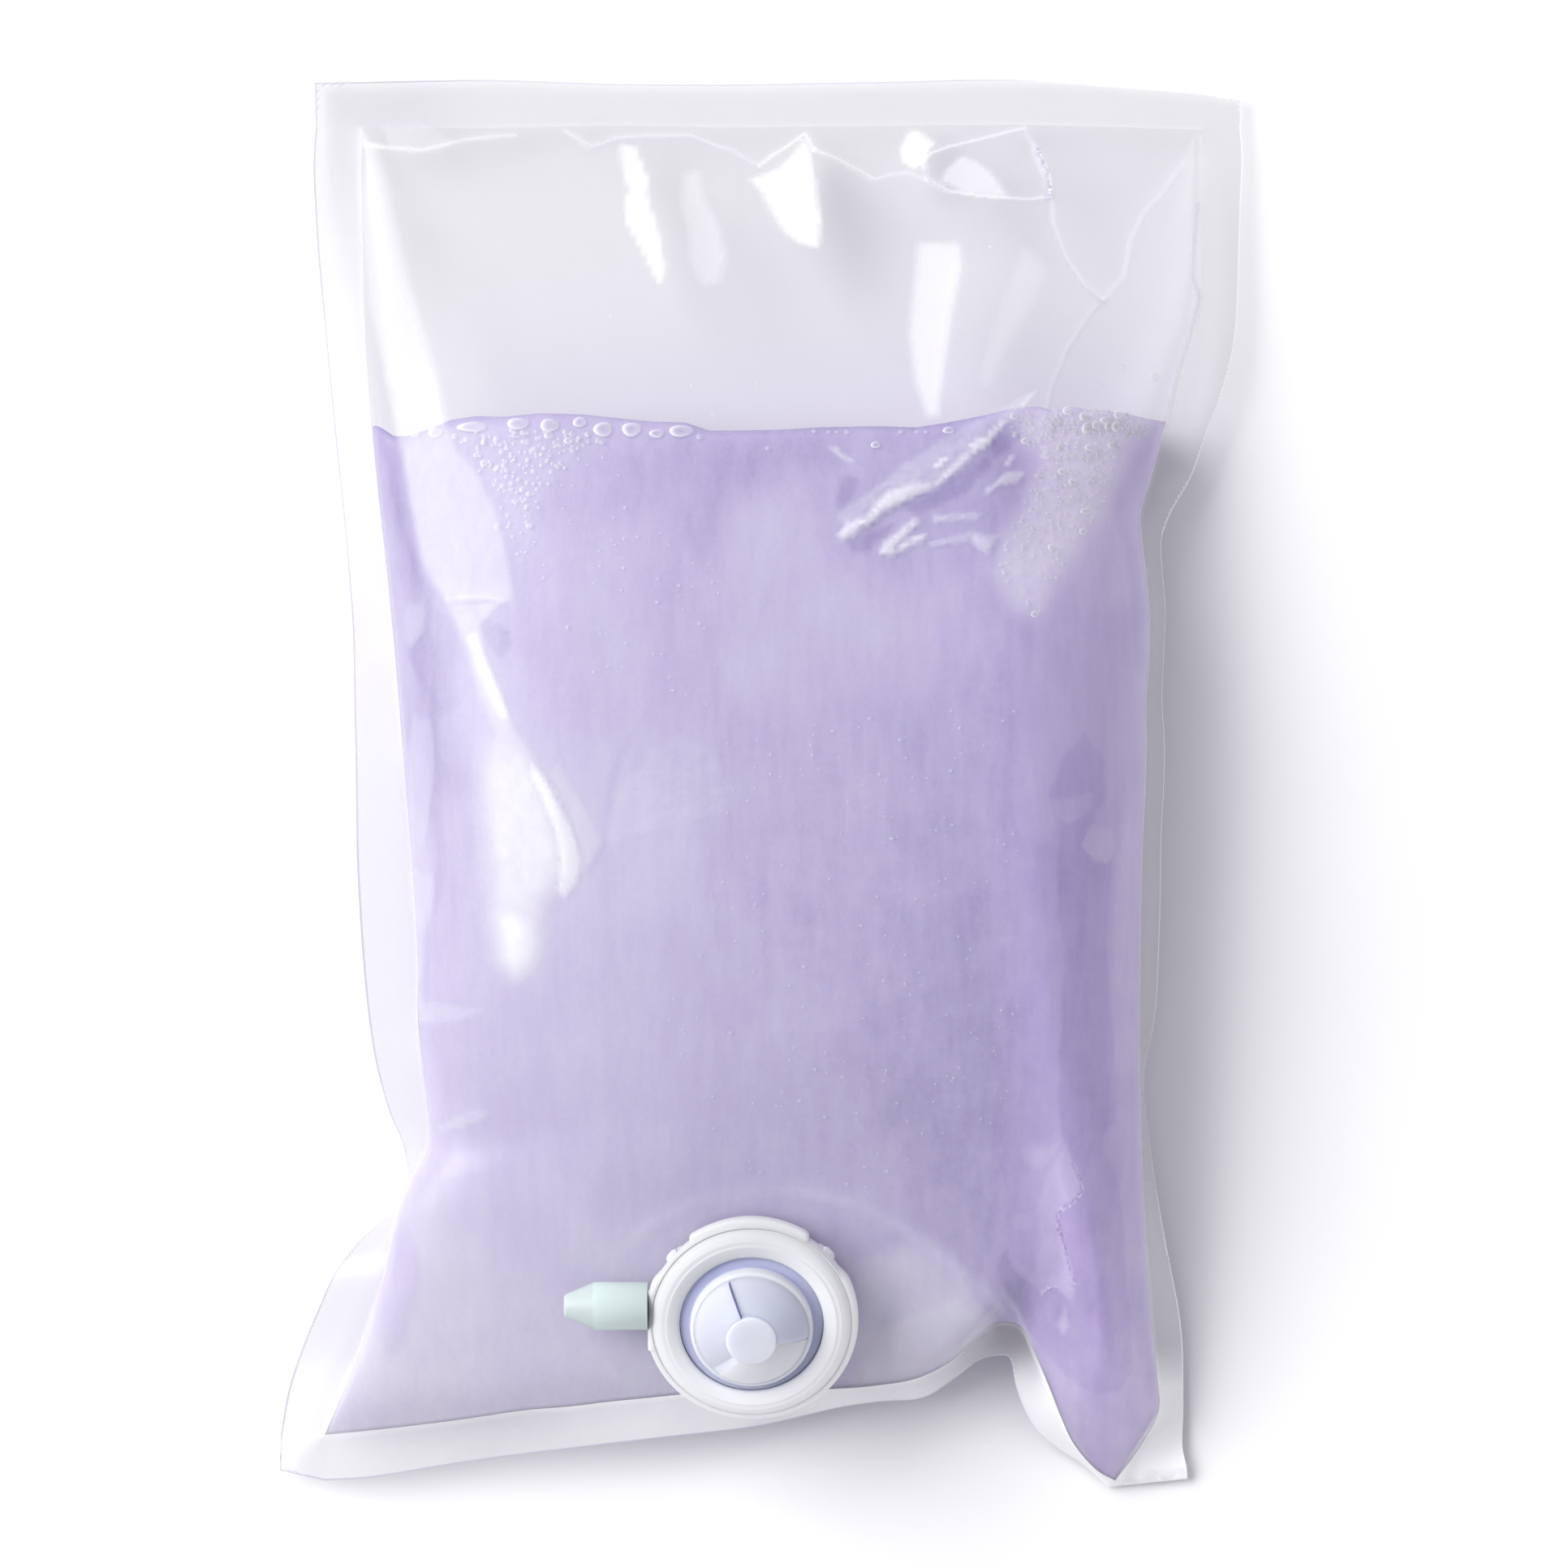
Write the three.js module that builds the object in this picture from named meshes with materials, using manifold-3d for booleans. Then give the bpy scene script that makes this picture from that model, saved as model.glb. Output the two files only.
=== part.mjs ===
// Body wash refill bag: a clear pouch welded from two film webs, three quarters full of lilac
// body wash, with a press-dome pump valve on a spout in the front web.
// Millimetres. +Z is up, off the surface the bag lies on. +Y is towards the top weld of the bag,
// +X to the right of the bag seen from above. The valve's own parts are modelled about their
// axis and then tilted with the film that carries them.
import * as THREE from 'three';
import { mergeVertices } from 'three/addons/utils/BufferGeometryUtils.js';
import Module from 'manifold-3d';

// ---- driving dimensions ---------------------------------------------------------------
const ORIGIN_SHIFT = [0.02, -0.015, 0.0]; // brings the whole bag's box to bottom centre
const FILM = 0.3; // film thickness as modelled
const WEB_GAP = 0.3; // between the two webs in the weld band
const WASH_INSET = 0.5; // how far into the first cell the liquid starts
const WASH_GAP = 0.7; // between the liquid and either web
const COLUMNS = 18; // cells across the pouch
const ROWS = 27; // cells along the pouch
const LEVEL_V = 0.773; // where the liquid ends, as a share of the pouch's length
const FLOOR_RUN = 19; // how far in from the weld the back web reaches the surface
const FULLNESS = 2.8; // superellipse power of the pouch's cross section

// height of the front web along the pouch's middle, as [share of length, height]
const CREST = [
  [0, 14.9], [0.03, 19.0], [0.065, 22.6], [0.1, 25.8], [0.15, 29.8], [0.22, 33.8], [0.3, 37.2], [0.4, 39.8],
  [0.5, 40.3], [0.6, 38.4], [0.7, 33.8], [0.773, 28.8], [0.85, 21.8], [0.92, 14.4], [0.97, 8.5], [1, 3.85],
];

// Each row is a point of the weld's inner edge and the point of the film's cut edge beside it:
// x, y, z, x, y, z. LEFT and RIGHT run from the bottom up, BOTTOM and TOP from left to right.
const LEFT = [
  [-80.36, -119.77, 5.5, -88.63, -120.04, 3],
  [-76.48, -110.91, 7.5, -86.83, -111.06, 6],
  [-73.39, -103.32, 9, -84.21, -103.44, 7.67],
  [-71.09, -95.79, 10, -81.05, -95.9, 8.81],
  [-68.79, -89.76, 11, -78.3, -89.96, 8.66],
  [-67.57, -83.79, 11.5, -73.92, -84.14, 6.83],
  [-66.2, -77.81, 12, -67.68, -78.36, 4.36],
  [-63.8, -72.29, 12.5, -65.26, -72.84, 4.15],
  [-60.8, -66.18, 13, -65.78, -66.59, 6.2],
  [-60.92, -59.93, 13.5, -68.18, -60.17, 9],
  [-61.93, -51.01, 14, -70.48, -51.13, 11.43],
  [-62.67, -42.13, 14, -71.8, -42.18, 12.64],
  [-62.67, -31.76, 14, -72.8, -31.79, 13.13],
  [-63.71, -13.99, 14, -73.87, -14, 12.96],
  [-64.45, -5.11, 14, -74.02, -5.11, 12.7],
  [-65.19, 3.78, 14, -74.16, 3.79, 12.44],
  [-66.11, 15.63, 13.5, -74.44, 15.66, 11.84],
  [-67.18, 27.5, 13, -74.72, 27.55, 11.2],
  [-68.41, 39.38, 12.3, -75.63, 39.45, 10.4],
  [-69.81, 51.3, 11.3, -76.78, 51.39, 9.4],
  [-70.77, 60.25, 10.4, -77.83, 60.36, 8.47],
  [-71.89, 72.22, 9.2, -79.08, 72.35, 7.25],
  [-72.73, 84.23, 7.8, -80.32, 84.37, 5.94],
  [-73.16, 99.29, 6, -81.78, 99.43, 4.4],
  [-73.58, 114.39, 4.2, -82.59, 114.52, 3.01],
  [-73.49, 120.9, 3.4, -82.24, 121.02, 2.4],
];
const RIGHT = [
  [65.15, -128.42, 3, 78.37, -125.97, 2.2],
  [68.95, -123.01, 4.5, 77.64, -122.4, 2],
  [72.83, -115.43, 7, 77.79, -115.96, 2],
  [72.59, -108.87, 8.5, 77.77, -109.5, 2.2],
  [71.9, -102.78, 10, 77.58, -103.46, 2.8],
  [71.22, -96.57, 11.3, 76.87, -97.25, 3.6],
  [70.23, -84.41, 13, 74.47, -85.04, 4.89],
  [69.58, -72.19, 14, 72.3, -72.73, 5.8],
  [69.1, -60.16, 14.6, 70.74, -60.62, 6.3],
  [68.94, -53.94, 14.8, 70.34, -54.35, 6.5],
  [68.92, -41.35, 15, 72.31, -41.66, 6.9],
  [69.07, -25.22, 15, 73.12, -25.4, 7.2],
  [69.52, -9.1, 15, 73.41, -9.16, 7.2],
  [69.96, -0.96, 15, 73.87, -0.96, 7.05],
  [70.12, 7.18, 14.8, 74.03, 7.23, 6.9],
  [70.14, 15.18, 14.5, 73.6, 15.29, 6.55],
  [70.76, 23.33, 14, 73.92, 23.5, 6.2],
  [70.79, 31.48, 13.6, 74.24, 31.71, 5.86],
  [70.22, 37.87, 13.2, 73.79, 38.13, 5.6],
  [69.5, 44.41, 12.8, 73.53, 44.7, 5.6],
  [69.23, 49.32, 12.3, 75.16, 49.62, 5.8],
  [71.22, 55.89, 11.4, 78.84, 56.16, 6.27],
  [73.67, 64.72, 10.2, 81.96, 64.94, 6.52],
  [75.36, 70.72, 9.4, 84.33, 70.93, 6.2],
  [77.65, 78.23, 8.4, 86.51, 78.44, 5.4],
  [79.35, 84.24, 7.6, 87.45, 84.45, 4.87],
  [80.32, 94.77, 6.4, 87.94, 94.99, 3.98],
  [80.57, 106.84, 5, 88.36, 107.02, 3.16],
  [80.65, 115.92, 3.9, 88.74, 116.05, 2.6],
  [80.68, 120.46, 3.4, 88.39, 120.58, 2.3],
];
const BOTTOM = [
  [-80.36, -119.77, 5.5, -80.52, -128.37, 3.4],
  [-72.79, -118.86, 7, -72.18, -127.74, 5],
  [-56.25, -116.65, 9.5, -55.52, -124.87, 6.6],
  [-42.78, -114.51, 11.5, -42.19, -122.92, 8],
  [-35.34, -113.84, 12.2, -34.72, -121.96, 8.6],
  [-27.9, -112.87, 13, -27.27, -121.02, 9],
  [-20.47, -112.07, 13.6, -19.83, -120.11, 9.2],
  [-13.06, -111.29, 14, -11.65, -119.24, 9],
  [-1.21, -110.64, 14.5, -0.05, -117.79, 8.6],
  [13.59, -110.32, 14.8, 14.55, -114.54, 7],
  [20.99, -109.7, 15, 21.71, -113.49, 7],
  [28.38, -108.35, 15.2, 29.75, -112.73, 7.2],
  [34.29, -105.37, 15.5, 35.7, -108.97, 7.5],
  [38.71, -101.47, 16, 40.15, -105.63, 8.2],
  [42.83, -98.18, 16.5, 43.68, -104.77, 9.4],
  [46.99, -98.81, 16, 45.31, -105.05, 9.6],
  [49.39, -102.9, 15, 46.68, -110.5, 8.6],
  [52.29, -109.61, 13, 48.26, -114.9, 6.4],
  [54.76, -115.9, 11, 50.74, -119.01, 4.2],
  [57.26, -121.08, 8.5, 54.86, -122.65, 2.4],
  [61.76, -126.39, 5, 59.4, -125.76, 1.4],
  [65.15, -128.42, 3, 64.06, -129.84, 1.1],
];
const TOP = [
  [-73.49, 120.9, 3.4, -73.57, 129.42, 2.2],
  [-50.61, 120.76, 3.4, -50.68, 129.82, 2],
  [-28.18, 121.2, 3.4, -28.22, 129.12, 2],
  [-5.75, 120.9, 3.4, -5.76, 128.96, 2],
  [9.2, 121.05, 3.4, 9.21, 129.24, 2],
  [24.16, 121.2, 3.4, 24.18, 129.5, 2],
  [46.59, 121.35, 3.4, 46.64, 129.89, 2],
  [66.03, 120.9, 3.4, 66.11, 128.7, 2],
  [80.68, 120.46, 3.4, 80.77, 127.47, 2.2],
];
const CORNERS = {"BL": [-88.78, -126.62, 3.0], "BR": [78.58, -128.31, 1.4], "TL": [-82.41, 129.27, 2.2], "TR": [88.57, 126.3, 2.0]};

// valve, about its own axis: w is the height over the film at the spout
const VALVE_AT = [-1.7, -94.35]; // where its axis meets the front web
const VALVE_TILT = 17; // degrees, leaning towards the bottom weld
const SEGMENTS = 40;
const SPOUT_FLANGE_R = 10.8, SPOUT_R = 8.1, SPOUT_BORE = 6.3, SPOUT_TOP = 3.2, SPOUT_BEAD_R = 8.8;
const HOLE_R = 8.4; // hole in the front web
const BODY_R = 19.4, BODY_RIM = 17.95, BODY_BOTTOM = 1.3, BODY_TOP = 8.5;
const LUG_R = 20.3; // lug between the two notches on the body's upper side
const RING_OUT = 17.5, RING_IN = 13.2, RING_LOW = 7.4, RING_TOP = 10.4;
const DOME_R = 11.0, DOME_SHOULDER = 12.4, DOME_TOP = 17.6, DOME_WALL = 1.1, BUTTON_R = 4.5;
const VANE_EDGES = [114, 234, 354], VANE_STEP = 0.75; // where the three vanes overlap, and by how much
const NOZZLE_OFFSET = 2.1, NOZZLE_W = 5.7, NOZZLE_R = 4.3, NOZZLE_TIP_R = 2.0;
const NOZZLE_START = -19.8, NOZZLE_CONE = -30.3, NOZZLE_END = -35.9, NOZZLE_BORE = 2.9, NOZZLE_TIP_BORE = 1.1, SPIGOT_R = 2.6;

// ---- solids ----------------------------------------------------------------------------
const wasm = await Module();
wasm.setup();

function bare(geometry) {
  const g = geometry.clone();
  g.deleteAttribute('normal');
  g.deleteAttribute('uv');
  return mergeVertices(g, 1e-3);
}

function solid(geometry) {
  const g = bare(geometry);
  return new wasm.Manifold(new wasm.Mesh({
    numProp: 3,
    vertProperties: new Float32Array(g.attributes.position.array),
    triVerts: new Uint32Array(g.index.array),
  }));
}

function geometryOf(manifold) {
  const m = manifold.getMesh();
  const g = new THREE.BufferGeometry();
  g.setAttribute('position', new THREE.BufferAttribute(new Float32Array(m.vertProperties), 3));
  g.setIndex(new THREE.BufferAttribute(new Uint32Array(m.triVerts), 1));
  g.computeVertexNormals();
  return g;
}

// a turned body about Z from a closed profile of [radius, height] points
function turned(profile, segments = SEGMENTS) {
  const points = profile.map(([r, w]) => new THREE.Vector2(r, w));
  const closed = profile[0][0] === 0 && profile[profile.length - 1][0] === 0;
  if (!closed) points.push(points[0].clone());
  const g = new THREE.LatheGeometry(points, segments);
  g.rotateX(Math.PI / 2);
  // the profile may run either way round: the faces are made to point out
  return outward(bare(g));
}

function outward(g) {
  const p = g.attributes.position, index = g.index.array;
  let volume = 0;
  const a = new THREE.Vector3(), b = new THREE.Vector3(), c = new THREE.Vector3();
  for (let i = 0; i < index.length; i += 3) {
    a.fromBufferAttribute(p, index[i]);
    b.fromBufferAttribute(p, index[i + 1]);
    c.fromBufferAttribute(p, index[i + 2]);
    volume += a.dot(b.cross(c));
  }
  if (volume < 0) for (let i = 0; i < index.length; i += 3) [index[i + 1], index[i + 2]] = [index[i + 2], index[i + 1]];
  return g;
}

function rod(radius, from, to, segments = 24) {
  const g = new THREE.CylinderGeometry(radius, radius, to - from, segments);
  g.rotateX(Math.PI / 2);
  g.translate(0, 0, (from + to) / 2);
  return g;
}

// ---- the pouch's surfaces --------------------------------------------------------------
class Border {
  constructor(rows) {
    this.weld = new THREE.CatmullRomCurve3(rows.map((r) => new THREE.Vector3(r[0], r[1], r[2])), false, 'centripetal');
    this.cut = new THREE.CatmullRomCurve3(rows.map((r) => new THREE.Vector3(r[3], r[4], r[5])), false, 'centripetal');
    this.weld.arcLengthDivisions = 600;
  }
  at(share) {
    const t = this.weld.getUtoTmapping(Math.min(1, Math.max(0, share)), null);
    return [this.weld.getPoint(t), this.cut.getPoint(t)];
  }
}
const left = new Border(LEFT), right = new Border(RIGHT), bottom = new Border(BOTTOM), top = new Border(TOP);

const lerp = (a, b, t) => a + (b - a) * t;

function smoothTable(table, x) {
  // monotone through the table's points
  const n = table.length;
  if (x <= table[0][0]) return table[0][1];
  if (x >= table[n - 1][0]) return table[n - 1][1];
  const slope = [];
  for (let i = 0; i < n - 1; i++) slope.push((table[i + 1][1] - table[i][1]) / (table[i + 1][0] - table[i][0]));
  const tangent = (i) => {
    if (i === 0) return slope[0];
    if (i === n - 1) return slope[n - 2];
    return slope[i - 1] * slope[i] <= 0 ? 0 : (2 * slope[i - 1] * slope[i]) / (slope[i - 1] + slope[i]);
  };
  let i = 0;
  while (x > table[i + 1][0]) i++;
  const h = table[i + 1][0] - table[i][0], t = (x - table[i][0]) / h;
  const t2 = t * t, t3 = t2 * t;
  return (2 * t3 - 3 * t2 + 1) * table[i][1] + (t3 - 2 * t2 + t) * h * tangent(i)
    + (-2 * t3 + 3 * t2) * table[i + 1][1] + (t3 - t2) * h * tangent(i + 1);
}

// the sheet between the four welds, before the liquid swells it
function flatSheet(u, v) {
  const L = left.at(v)[0], R = right.at(v)[0], B = bottom.at(u)[0], T = top.at(u)[0];
  const c00 = bottom.at(0)[0], c10 = bottom.at(1)[0], c01 = top.at(0)[0], c11 = top.at(1)[0];
  const out = [];
  for (const k of ['x', 'y', 'z']) {
    out.push(lerp(L[k], R[k], u) + lerp(B[k], T[k], v)
      - (1 - u) * (1 - v) * c00[k] - u * (1 - v) * c10[k] - (1 - u) * v * c01[k] - u * v * c11[k]);
  }
  return out;
}

const tilt = THREE.MathUtils.degToRad(VALVE_TILT);
const HALF = FILM + WEB_GAP / 2; // from the weld's middle to the outside of either web

function crestAt(u, v) {
  const [x, y, base] = flatSheet(u, v);
  const middle = flatSheet(0.5, v)[2] + HALF;
  const swell = Math.max(0, smoothTable(CREST, v) - middle) * (1 - Math.abs(2 * u - 1) ** FULLNESS) ** (1 / FULLNESS);
  return [x, y, base + HALF + swell];
}

// height of the valve's seat on the front web
const seat = (() => {
  let best = null;
  for (let i = 0; i <= 60; i++) for (let j = 0; j <= 60; j++) {
    const p = crestAt(0.35 + (0.35 * i) / 60, (0.2 * j) / 60);
    const d = Math.hypot(p[0] - VALVE_AT[0], p[1] - VALVE_AT[1]);
    if (!best || d < best[0]) best = [d, p[2]];
  }
  return best[1] - 1.0;
})();

function frontHeight(u, v) {
  const [x, y, z] = crestAt(u, v);
  const r = Math.hypot(x - VALVE_AT[0], y - VALVE_AT[1]);
  if (r > 58) return z;
  // the stiff spout holds the film flat around it
  const plane = seat + Math.tan(tilt) * (y - VALVE_AT[1]);
  const k = 1.2, h = Math.max(0, Math.min(1, 0.5 + (0.5 * (z - plane)) / k));
  const met = lerp(z, plane, h) - k * h * (1 - h);
  const fade = THREE.MathUtils.smoothstep(58 - r, 0, 14);
  const held = 1 - THREE.MathUtils.smoothstep(r, SPOUT_FLANGE_R + 1.5, SPOUT_FLANGE_R + 8);
  return lerp(lerp(z, met, fade), plane, held);
}

function backHeight(u, v) {
  const [, , base] = flatSheet(u, v);
  const width = Math.hypot(...['x', 'y'].map((k) => left.at(v)[0][k] - right.at(v)[0][k]));
  const in_ = Math.min(Math.min(u, 1 - u) * width, v * 235, (1 - v) * 235);
  const t = Math.max(0, 1 - in_ / FLOOR_RUN);
  return (base - HALF) * (1 - Math.sqrt(Math.max(0, 1 - t * t)));
}

// grid lines crowd towards the welds, where the film turns most
const ease = (t) => t - 0.42 * Math.sin(2 * Math.PI * t) / (2 * Math.PI);
const us = Array.from({ length: COLUMNS + 1 }, (_, i) => ease(i / COLUMNS));
const vs = Array.from({ length: ROWS + 1 }, (_, i) => ease(i / ROWS));
const levelRow = vs.reduce((best, v, j) => (Math.abs(v - LEVEL_V) < Math.abs(vs[best] - LEVEL_V) ? j : best), 0);
vs[levelRow] = LEVEL_V;

// the whole web, weld bands included, as a grid of [x, y, front top, back bottom]
const web = [];
for (let j = -1; j <= ROWS + 1; j++) {
  const row = [];
  for (let i = -1; i <= COLUMNS + 1; i++) {
    const u = us[Math.min(COLUMNS, Math.max(0, i))], v = vs[Math.min(ROWS, Math.max(0, j))];
    const outI = i < 0 || i > COLUMNS, outJ = j < 0 || j > ROWS;
    let p;
    if (outI && outJ) {
      const c = CORNERS[(j < 0 ? 'B' : 'T') + (i < 0 ? 'L' : 'R')];
      p = [c[0], c[1], c[2] + HALF, c[2] - HALF];
    } else if (outI || outJ) {
      const q = outI ? (i < 0 ? left : right).at(v)[1] : (j < 0 ? bottom : top).at(u)[1];
      p = [q.x, q.y, q.z + HALF, q.z - HALF];
    } else {
      const [x, y, z] = flatSheet(u, v);
      const rim = i === 0 || i === COLUMNS || j === 0 || j === ROWS;
      p = rim ? [x, y, z + HALF, z - HALF] : [x, y, frontHeight(u, v), backHeight(u, v)];
    }
    row.push(p);
  }
  web.push(row);
}

// a closed slab over a grid: upper and lower surface and the walls round its border
function slab(grid, upper, lower) {
  const rows = grid.length, columns = grid[0].length, position = [], index = [];
  for (const height of [upper, lower]) for (const row of grid) for (const p of row) position.push(p[0], p[1], height(p));
  const at = (j, i, layer) => layer * rows * columns + j * columns + i;
  const quad = (a, b, c, d) => index.push(a, b, c, a, c, d);
  for (let j = 0; j < rows - 1; j++) for (let i = 0; i < columns - 1; i++) {
    quad(at(j, i, 0), at(j, i + 1, 0), at(j + 1, i + 1, 0), at(j + 1, i, 0));
    quad(at(j, i, 1), at(j + 1, i, 1), at(j + 1, i + 1, 1), at(j, i + 1, 1));
  }
  for (let i = 0; i < columns - 1; i++) {
    quad(at(0, i, 1), at(0, i + 1, 1), at(0, i + 1, 0), at(0, i, 0));
    quad(at(rows - 1, i + 1, 1), at(rows - 1, i, 1), at(rows - 1, i, 0), at(rows - 1, i + 1, 0));
  }
  for (let j = 0; j < rows - 1; j++) {
    quad(at(j + 1, 0, 1), at(j, 0, 1), at(j, 0, 0), at(j + 1, 0, 0));
    quad(at(j, columns - 1, 1), at(j + 1, columns - 1, 1), at(j + 1, columns - 1, 0), at(j, columns - 1, 0));
  }
  const g = new THREE.BufferGeometry();
  g.setAttribute('position', new THREE.Float32BufferAttribute(position, 3));
  g.setIndex(index);
  return g;
}

// ---- materials -------------------------------------------------------------------------
const clearFilm = new THREE.MeshStandardMaterial({ color: 0xe9e8ee, roughness: 0.15, metalness: 0, transparent: true, opacity: 0.3 });
const backFilm = new THREE.MeshStandardMaterial({ color: 0xe4e3ea, roughness: 0.2, metalness: 0, transparent: true, opacity: 0.3 });
const lilac = new THREE.MeshStandardMaterial({ color: 0xc3b5de, roughness: 0.25, metalness: 0 });
const milky = new THREE.MeshStandardMaterial({ color: 0xeceef1, roughness: 0.45, metalness: 0 });
const milkyRing = new THREE.MeshStandardMaterial({ color: 0xf1f2f4, roughness: 0.4, metalness: 0 });
const domeWhite = new THREE.MeshStandardMaterial({ color: 0xdde1f2, roughness: 0.35, metalness: 0 });
const mint = new THREE.MeshStandardMaterial({ color: 0xcdeee4, roughness: 0.25, metalness: 0 });
const seal = new THREE.MeshStandardMaterial({ color: 0xd9dde4, roughness: 0.6, metalness: 0 });

function piece(name, geometry, material) {
  const g = geometry.index && geometry.attributes.normal ? geometry : bare(geometry);
  g.computeVertexNormals();
  const mesh = new THREE.Mesh(g, material);
  mesh.name = name;
  return mesh;
}

// ---- the pouch -------------------------------------------------------------------------
const bag = new THREE.Group();

const toSeat = new THREE.Matrix4().makeTranslation(VALVE_AT[0], VALVE_AT[1], seat)
  .multiply(new THREE.Matrix4().makeRotationX(tilt));
const holeTool = rod(HOLE_R, -8, 9, 40).applyMatrix4(toSeat);
const frontFilm = solid(slab(web, (p) => p[2], (p) => p[2] - FILM)).subtract(solid(holeTool));
bag.add(piece('front_film', geometryOf(frontFilm), clearFilm));
bag.add(piece('back_film', slab(web, (p) => p[3] + FILM, (p) => p[3]), backFilm));

// the liquid: what lies between the webs, up to its level, on the webs' own facets
function onWeb(row, column) {
  const j = Math.min(web.length - 2, Math.floor(row)), i = Math.min(web[0].length - 2, Math.floor(column));
  const s = column - i, t = row - j;
  const a = web[j][i], b = web[j][i + 1], c = web[j + 1][i + 1], d = web[j + 1][i];
  return a.map((_, k) => (s >= t ? a[k] + s * (b[k] - a[k]) + t * (c[k] - b[k]) : a[k] + t * (d[k] - a[k]) + s * (c[k] - d[k])));
}
const washRows = [1 + WASH_INSET], washColumns = [1 + WASH_INSET];
for (let j = 1; j <= levelRow; j++) washRows.push(1 + j);
for (let i = 1; i < COLUMNS; i++) washColumns.push(1 + i);
washColumns.push(1 + COLUMNS - WASH_INSET);
const wash = washRows.map((row) => washColumns.map((column) => {
  const [x, y, upper, lower] = onWeb(row, column);
  return [x, y, upper - FILM - WASH_GAP, lower + FILM + WASH_GAP];
}));
const spoutSpace = rod(SPOUT_FLANGE_R + 0.8, -2.6, 9, 40).applyMatrix4(toSeat);
bag.add(piece('body_wash', geometryOf(solid(slab(wash, (p) => p[2], (p) => p[3])).subtract(solid(spoutSpace))), lilac));

// ---- the valve -------------------------------------------------------------------------
const valve = new THREE.Group();
valve.applyMatrix4(toSeat);
bag.add(valve);

// spout: welded to the inside of the front web, its neck through the hole
valve.add(piece('spout', turned([
  [SPOUT_BORE, -1.9], [SPOUT_FLANGE_R, -1.9], [SPOUT_FLANGE_R, -0.75], [SPOUT_R, -0.75], [SPOUT_R, 2.0],
  [SPOUT_BEAD_R, 2.35], [SPOUT_BEAD_R, 2.75], [SPOUT_R - 0.2, SPOUT_TOP], [SPOUT_BORE, SPOUT_TOP],
], 40), milky));

// valve housing: snap socket, floor, pump chamber and outer rim, with the nozzle's boss
let housing = solid(turned([
  [0, 3.5], [9.1, 3.5], [9.1, 2.0], [8.4, 1.7], [8.4, BODY_BOTTOM], [BODY_R - 0.5, BODY_BOTTOM], [BODY_R, BODY_BOTTOM + 0.5],
  [BODY_R, 5.6], [BODY_R - 0.35, 5.9], [BODY_R - 0.35, BODY_TOP - 0.35], [BODY_R - 0.7, BODY_TOP], [BODY_RIM, BODY_TOP],
  [BODY_RIM, 6.4], [14.4, 6.4], [14.4, 2.9], [10.4, 2.9], [10.4, 4.7], [0, 4.7],
], 48));
const boss = new THREE.BoxGeometry(6, 12.4, BODY_TOP - 0.3 - BODY_BOTTOM);
boss.translate(-BODY_R - 0.1 + 3, 0, (BODY_TOP - 0.3 + BODY_BOTTOM) / 2);
housing = housing.add(solid(boss).subtract(solid(rod(15, 0, 10, 48))).subtract(solid(rod(BODY_RIM, 6.2, 10, 48))));
// lug along the body's upper side and two small ones beside it
const lug = (from, to, r, low, high) => {
  const shape = new THREE.Shape();
  const a = THREE.MathUtils.degToRad(from), b = THREE.MathUtils.degToRad(to);
  shape.absarc(0, 0, r, a, b, false);
  shape.absarc(0, 0, BODY_R - 1, b, a, true);
  shape.closePath();
  const g = new THREE.ExtrudeGeometry(shape, { depth: high - low, bevelEnabled: false, curveSegments: 12 });
  g.translate(0, 0, low);
  return g;
};
housing = housing.add(solid(lug(57, 126, LUG_R, BODY_BOTTOM + 0.4, 5.4)));
housing = housing.add(solid(lug(136, 144, LUG_R - 0.2, BODY_BOTTOM + 0.4, 4.8)));
housing = housing.add(solid(lug(38, 46, LUG_R - 0.2, BODY_BOTTOM + 0.4, 4.8)));
// a hollow spigot on the boss carries the nozzle
const across = (r, from, to, w) => {
  const g = rod(r, from, to, 28);
  g.rotateY(Math.PI / 2);
  g.translate(0, NOZZLE_OFFSET, w);
  return g;
};
housing = housing.add(solid(across(SPIGOT_R, -22.3, -18.6, NOZZLE_W)));
housing = housing.subtract(solid(across(1.4, -24, -17.2, NOZZLE_W)));
housing = housing.subtract(solid(across(1.2, -18.4, -12.5, 4.9)));
// inlet holes and the hole that holds the inlet valve's stem
housing = housing.subtract(solid(rod(1.25, 2, 6, 16)));
for (let i = 0; i < 4; i++) {
  const hole = rod(0.9, 2, 6, 12);
  hole.translate(3 * Math.cos((i + 0.5) * Math.PI / 2), 3 * Math.sin((i + 0.5) * Math.PI / 2), 0);
  housing = housing.subtract(solid(hole));
}
valve.add(piece('valve_housing', geometryOf(housing), milky));

// inlet valve: a soft cap over the inlet holes
valve.add(piece('inlet_valve', turned([
  [0, 2.6], [0.9, 2.9], [0.9, 5.0], [4.6, 5.0], [4.7, 5.4], [2.2, 6.1], [0, 6.3],
], 24), seal));

// retaining ring over the dome's rim
valve.add(piece('retaining_ring', turned([
  [RING_IN, RING_LOW], [RING_OUT, RING_LOW], [RING_OUT, RING_TOP - 1.5], [RING_OUT - 0.45, RING_TOP - 0.75],
  [RING_OUT - 1.2, RING_TOP - 0.2], [RING_OUT - 2.1, RING_TOP], [RING_IN + 1.0, RING_TOP], [RING_IN + 0.25, RING_TOP - 0.3], [RING_IN, RING_TOP - 1],
], 48), milkyRing));

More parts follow.
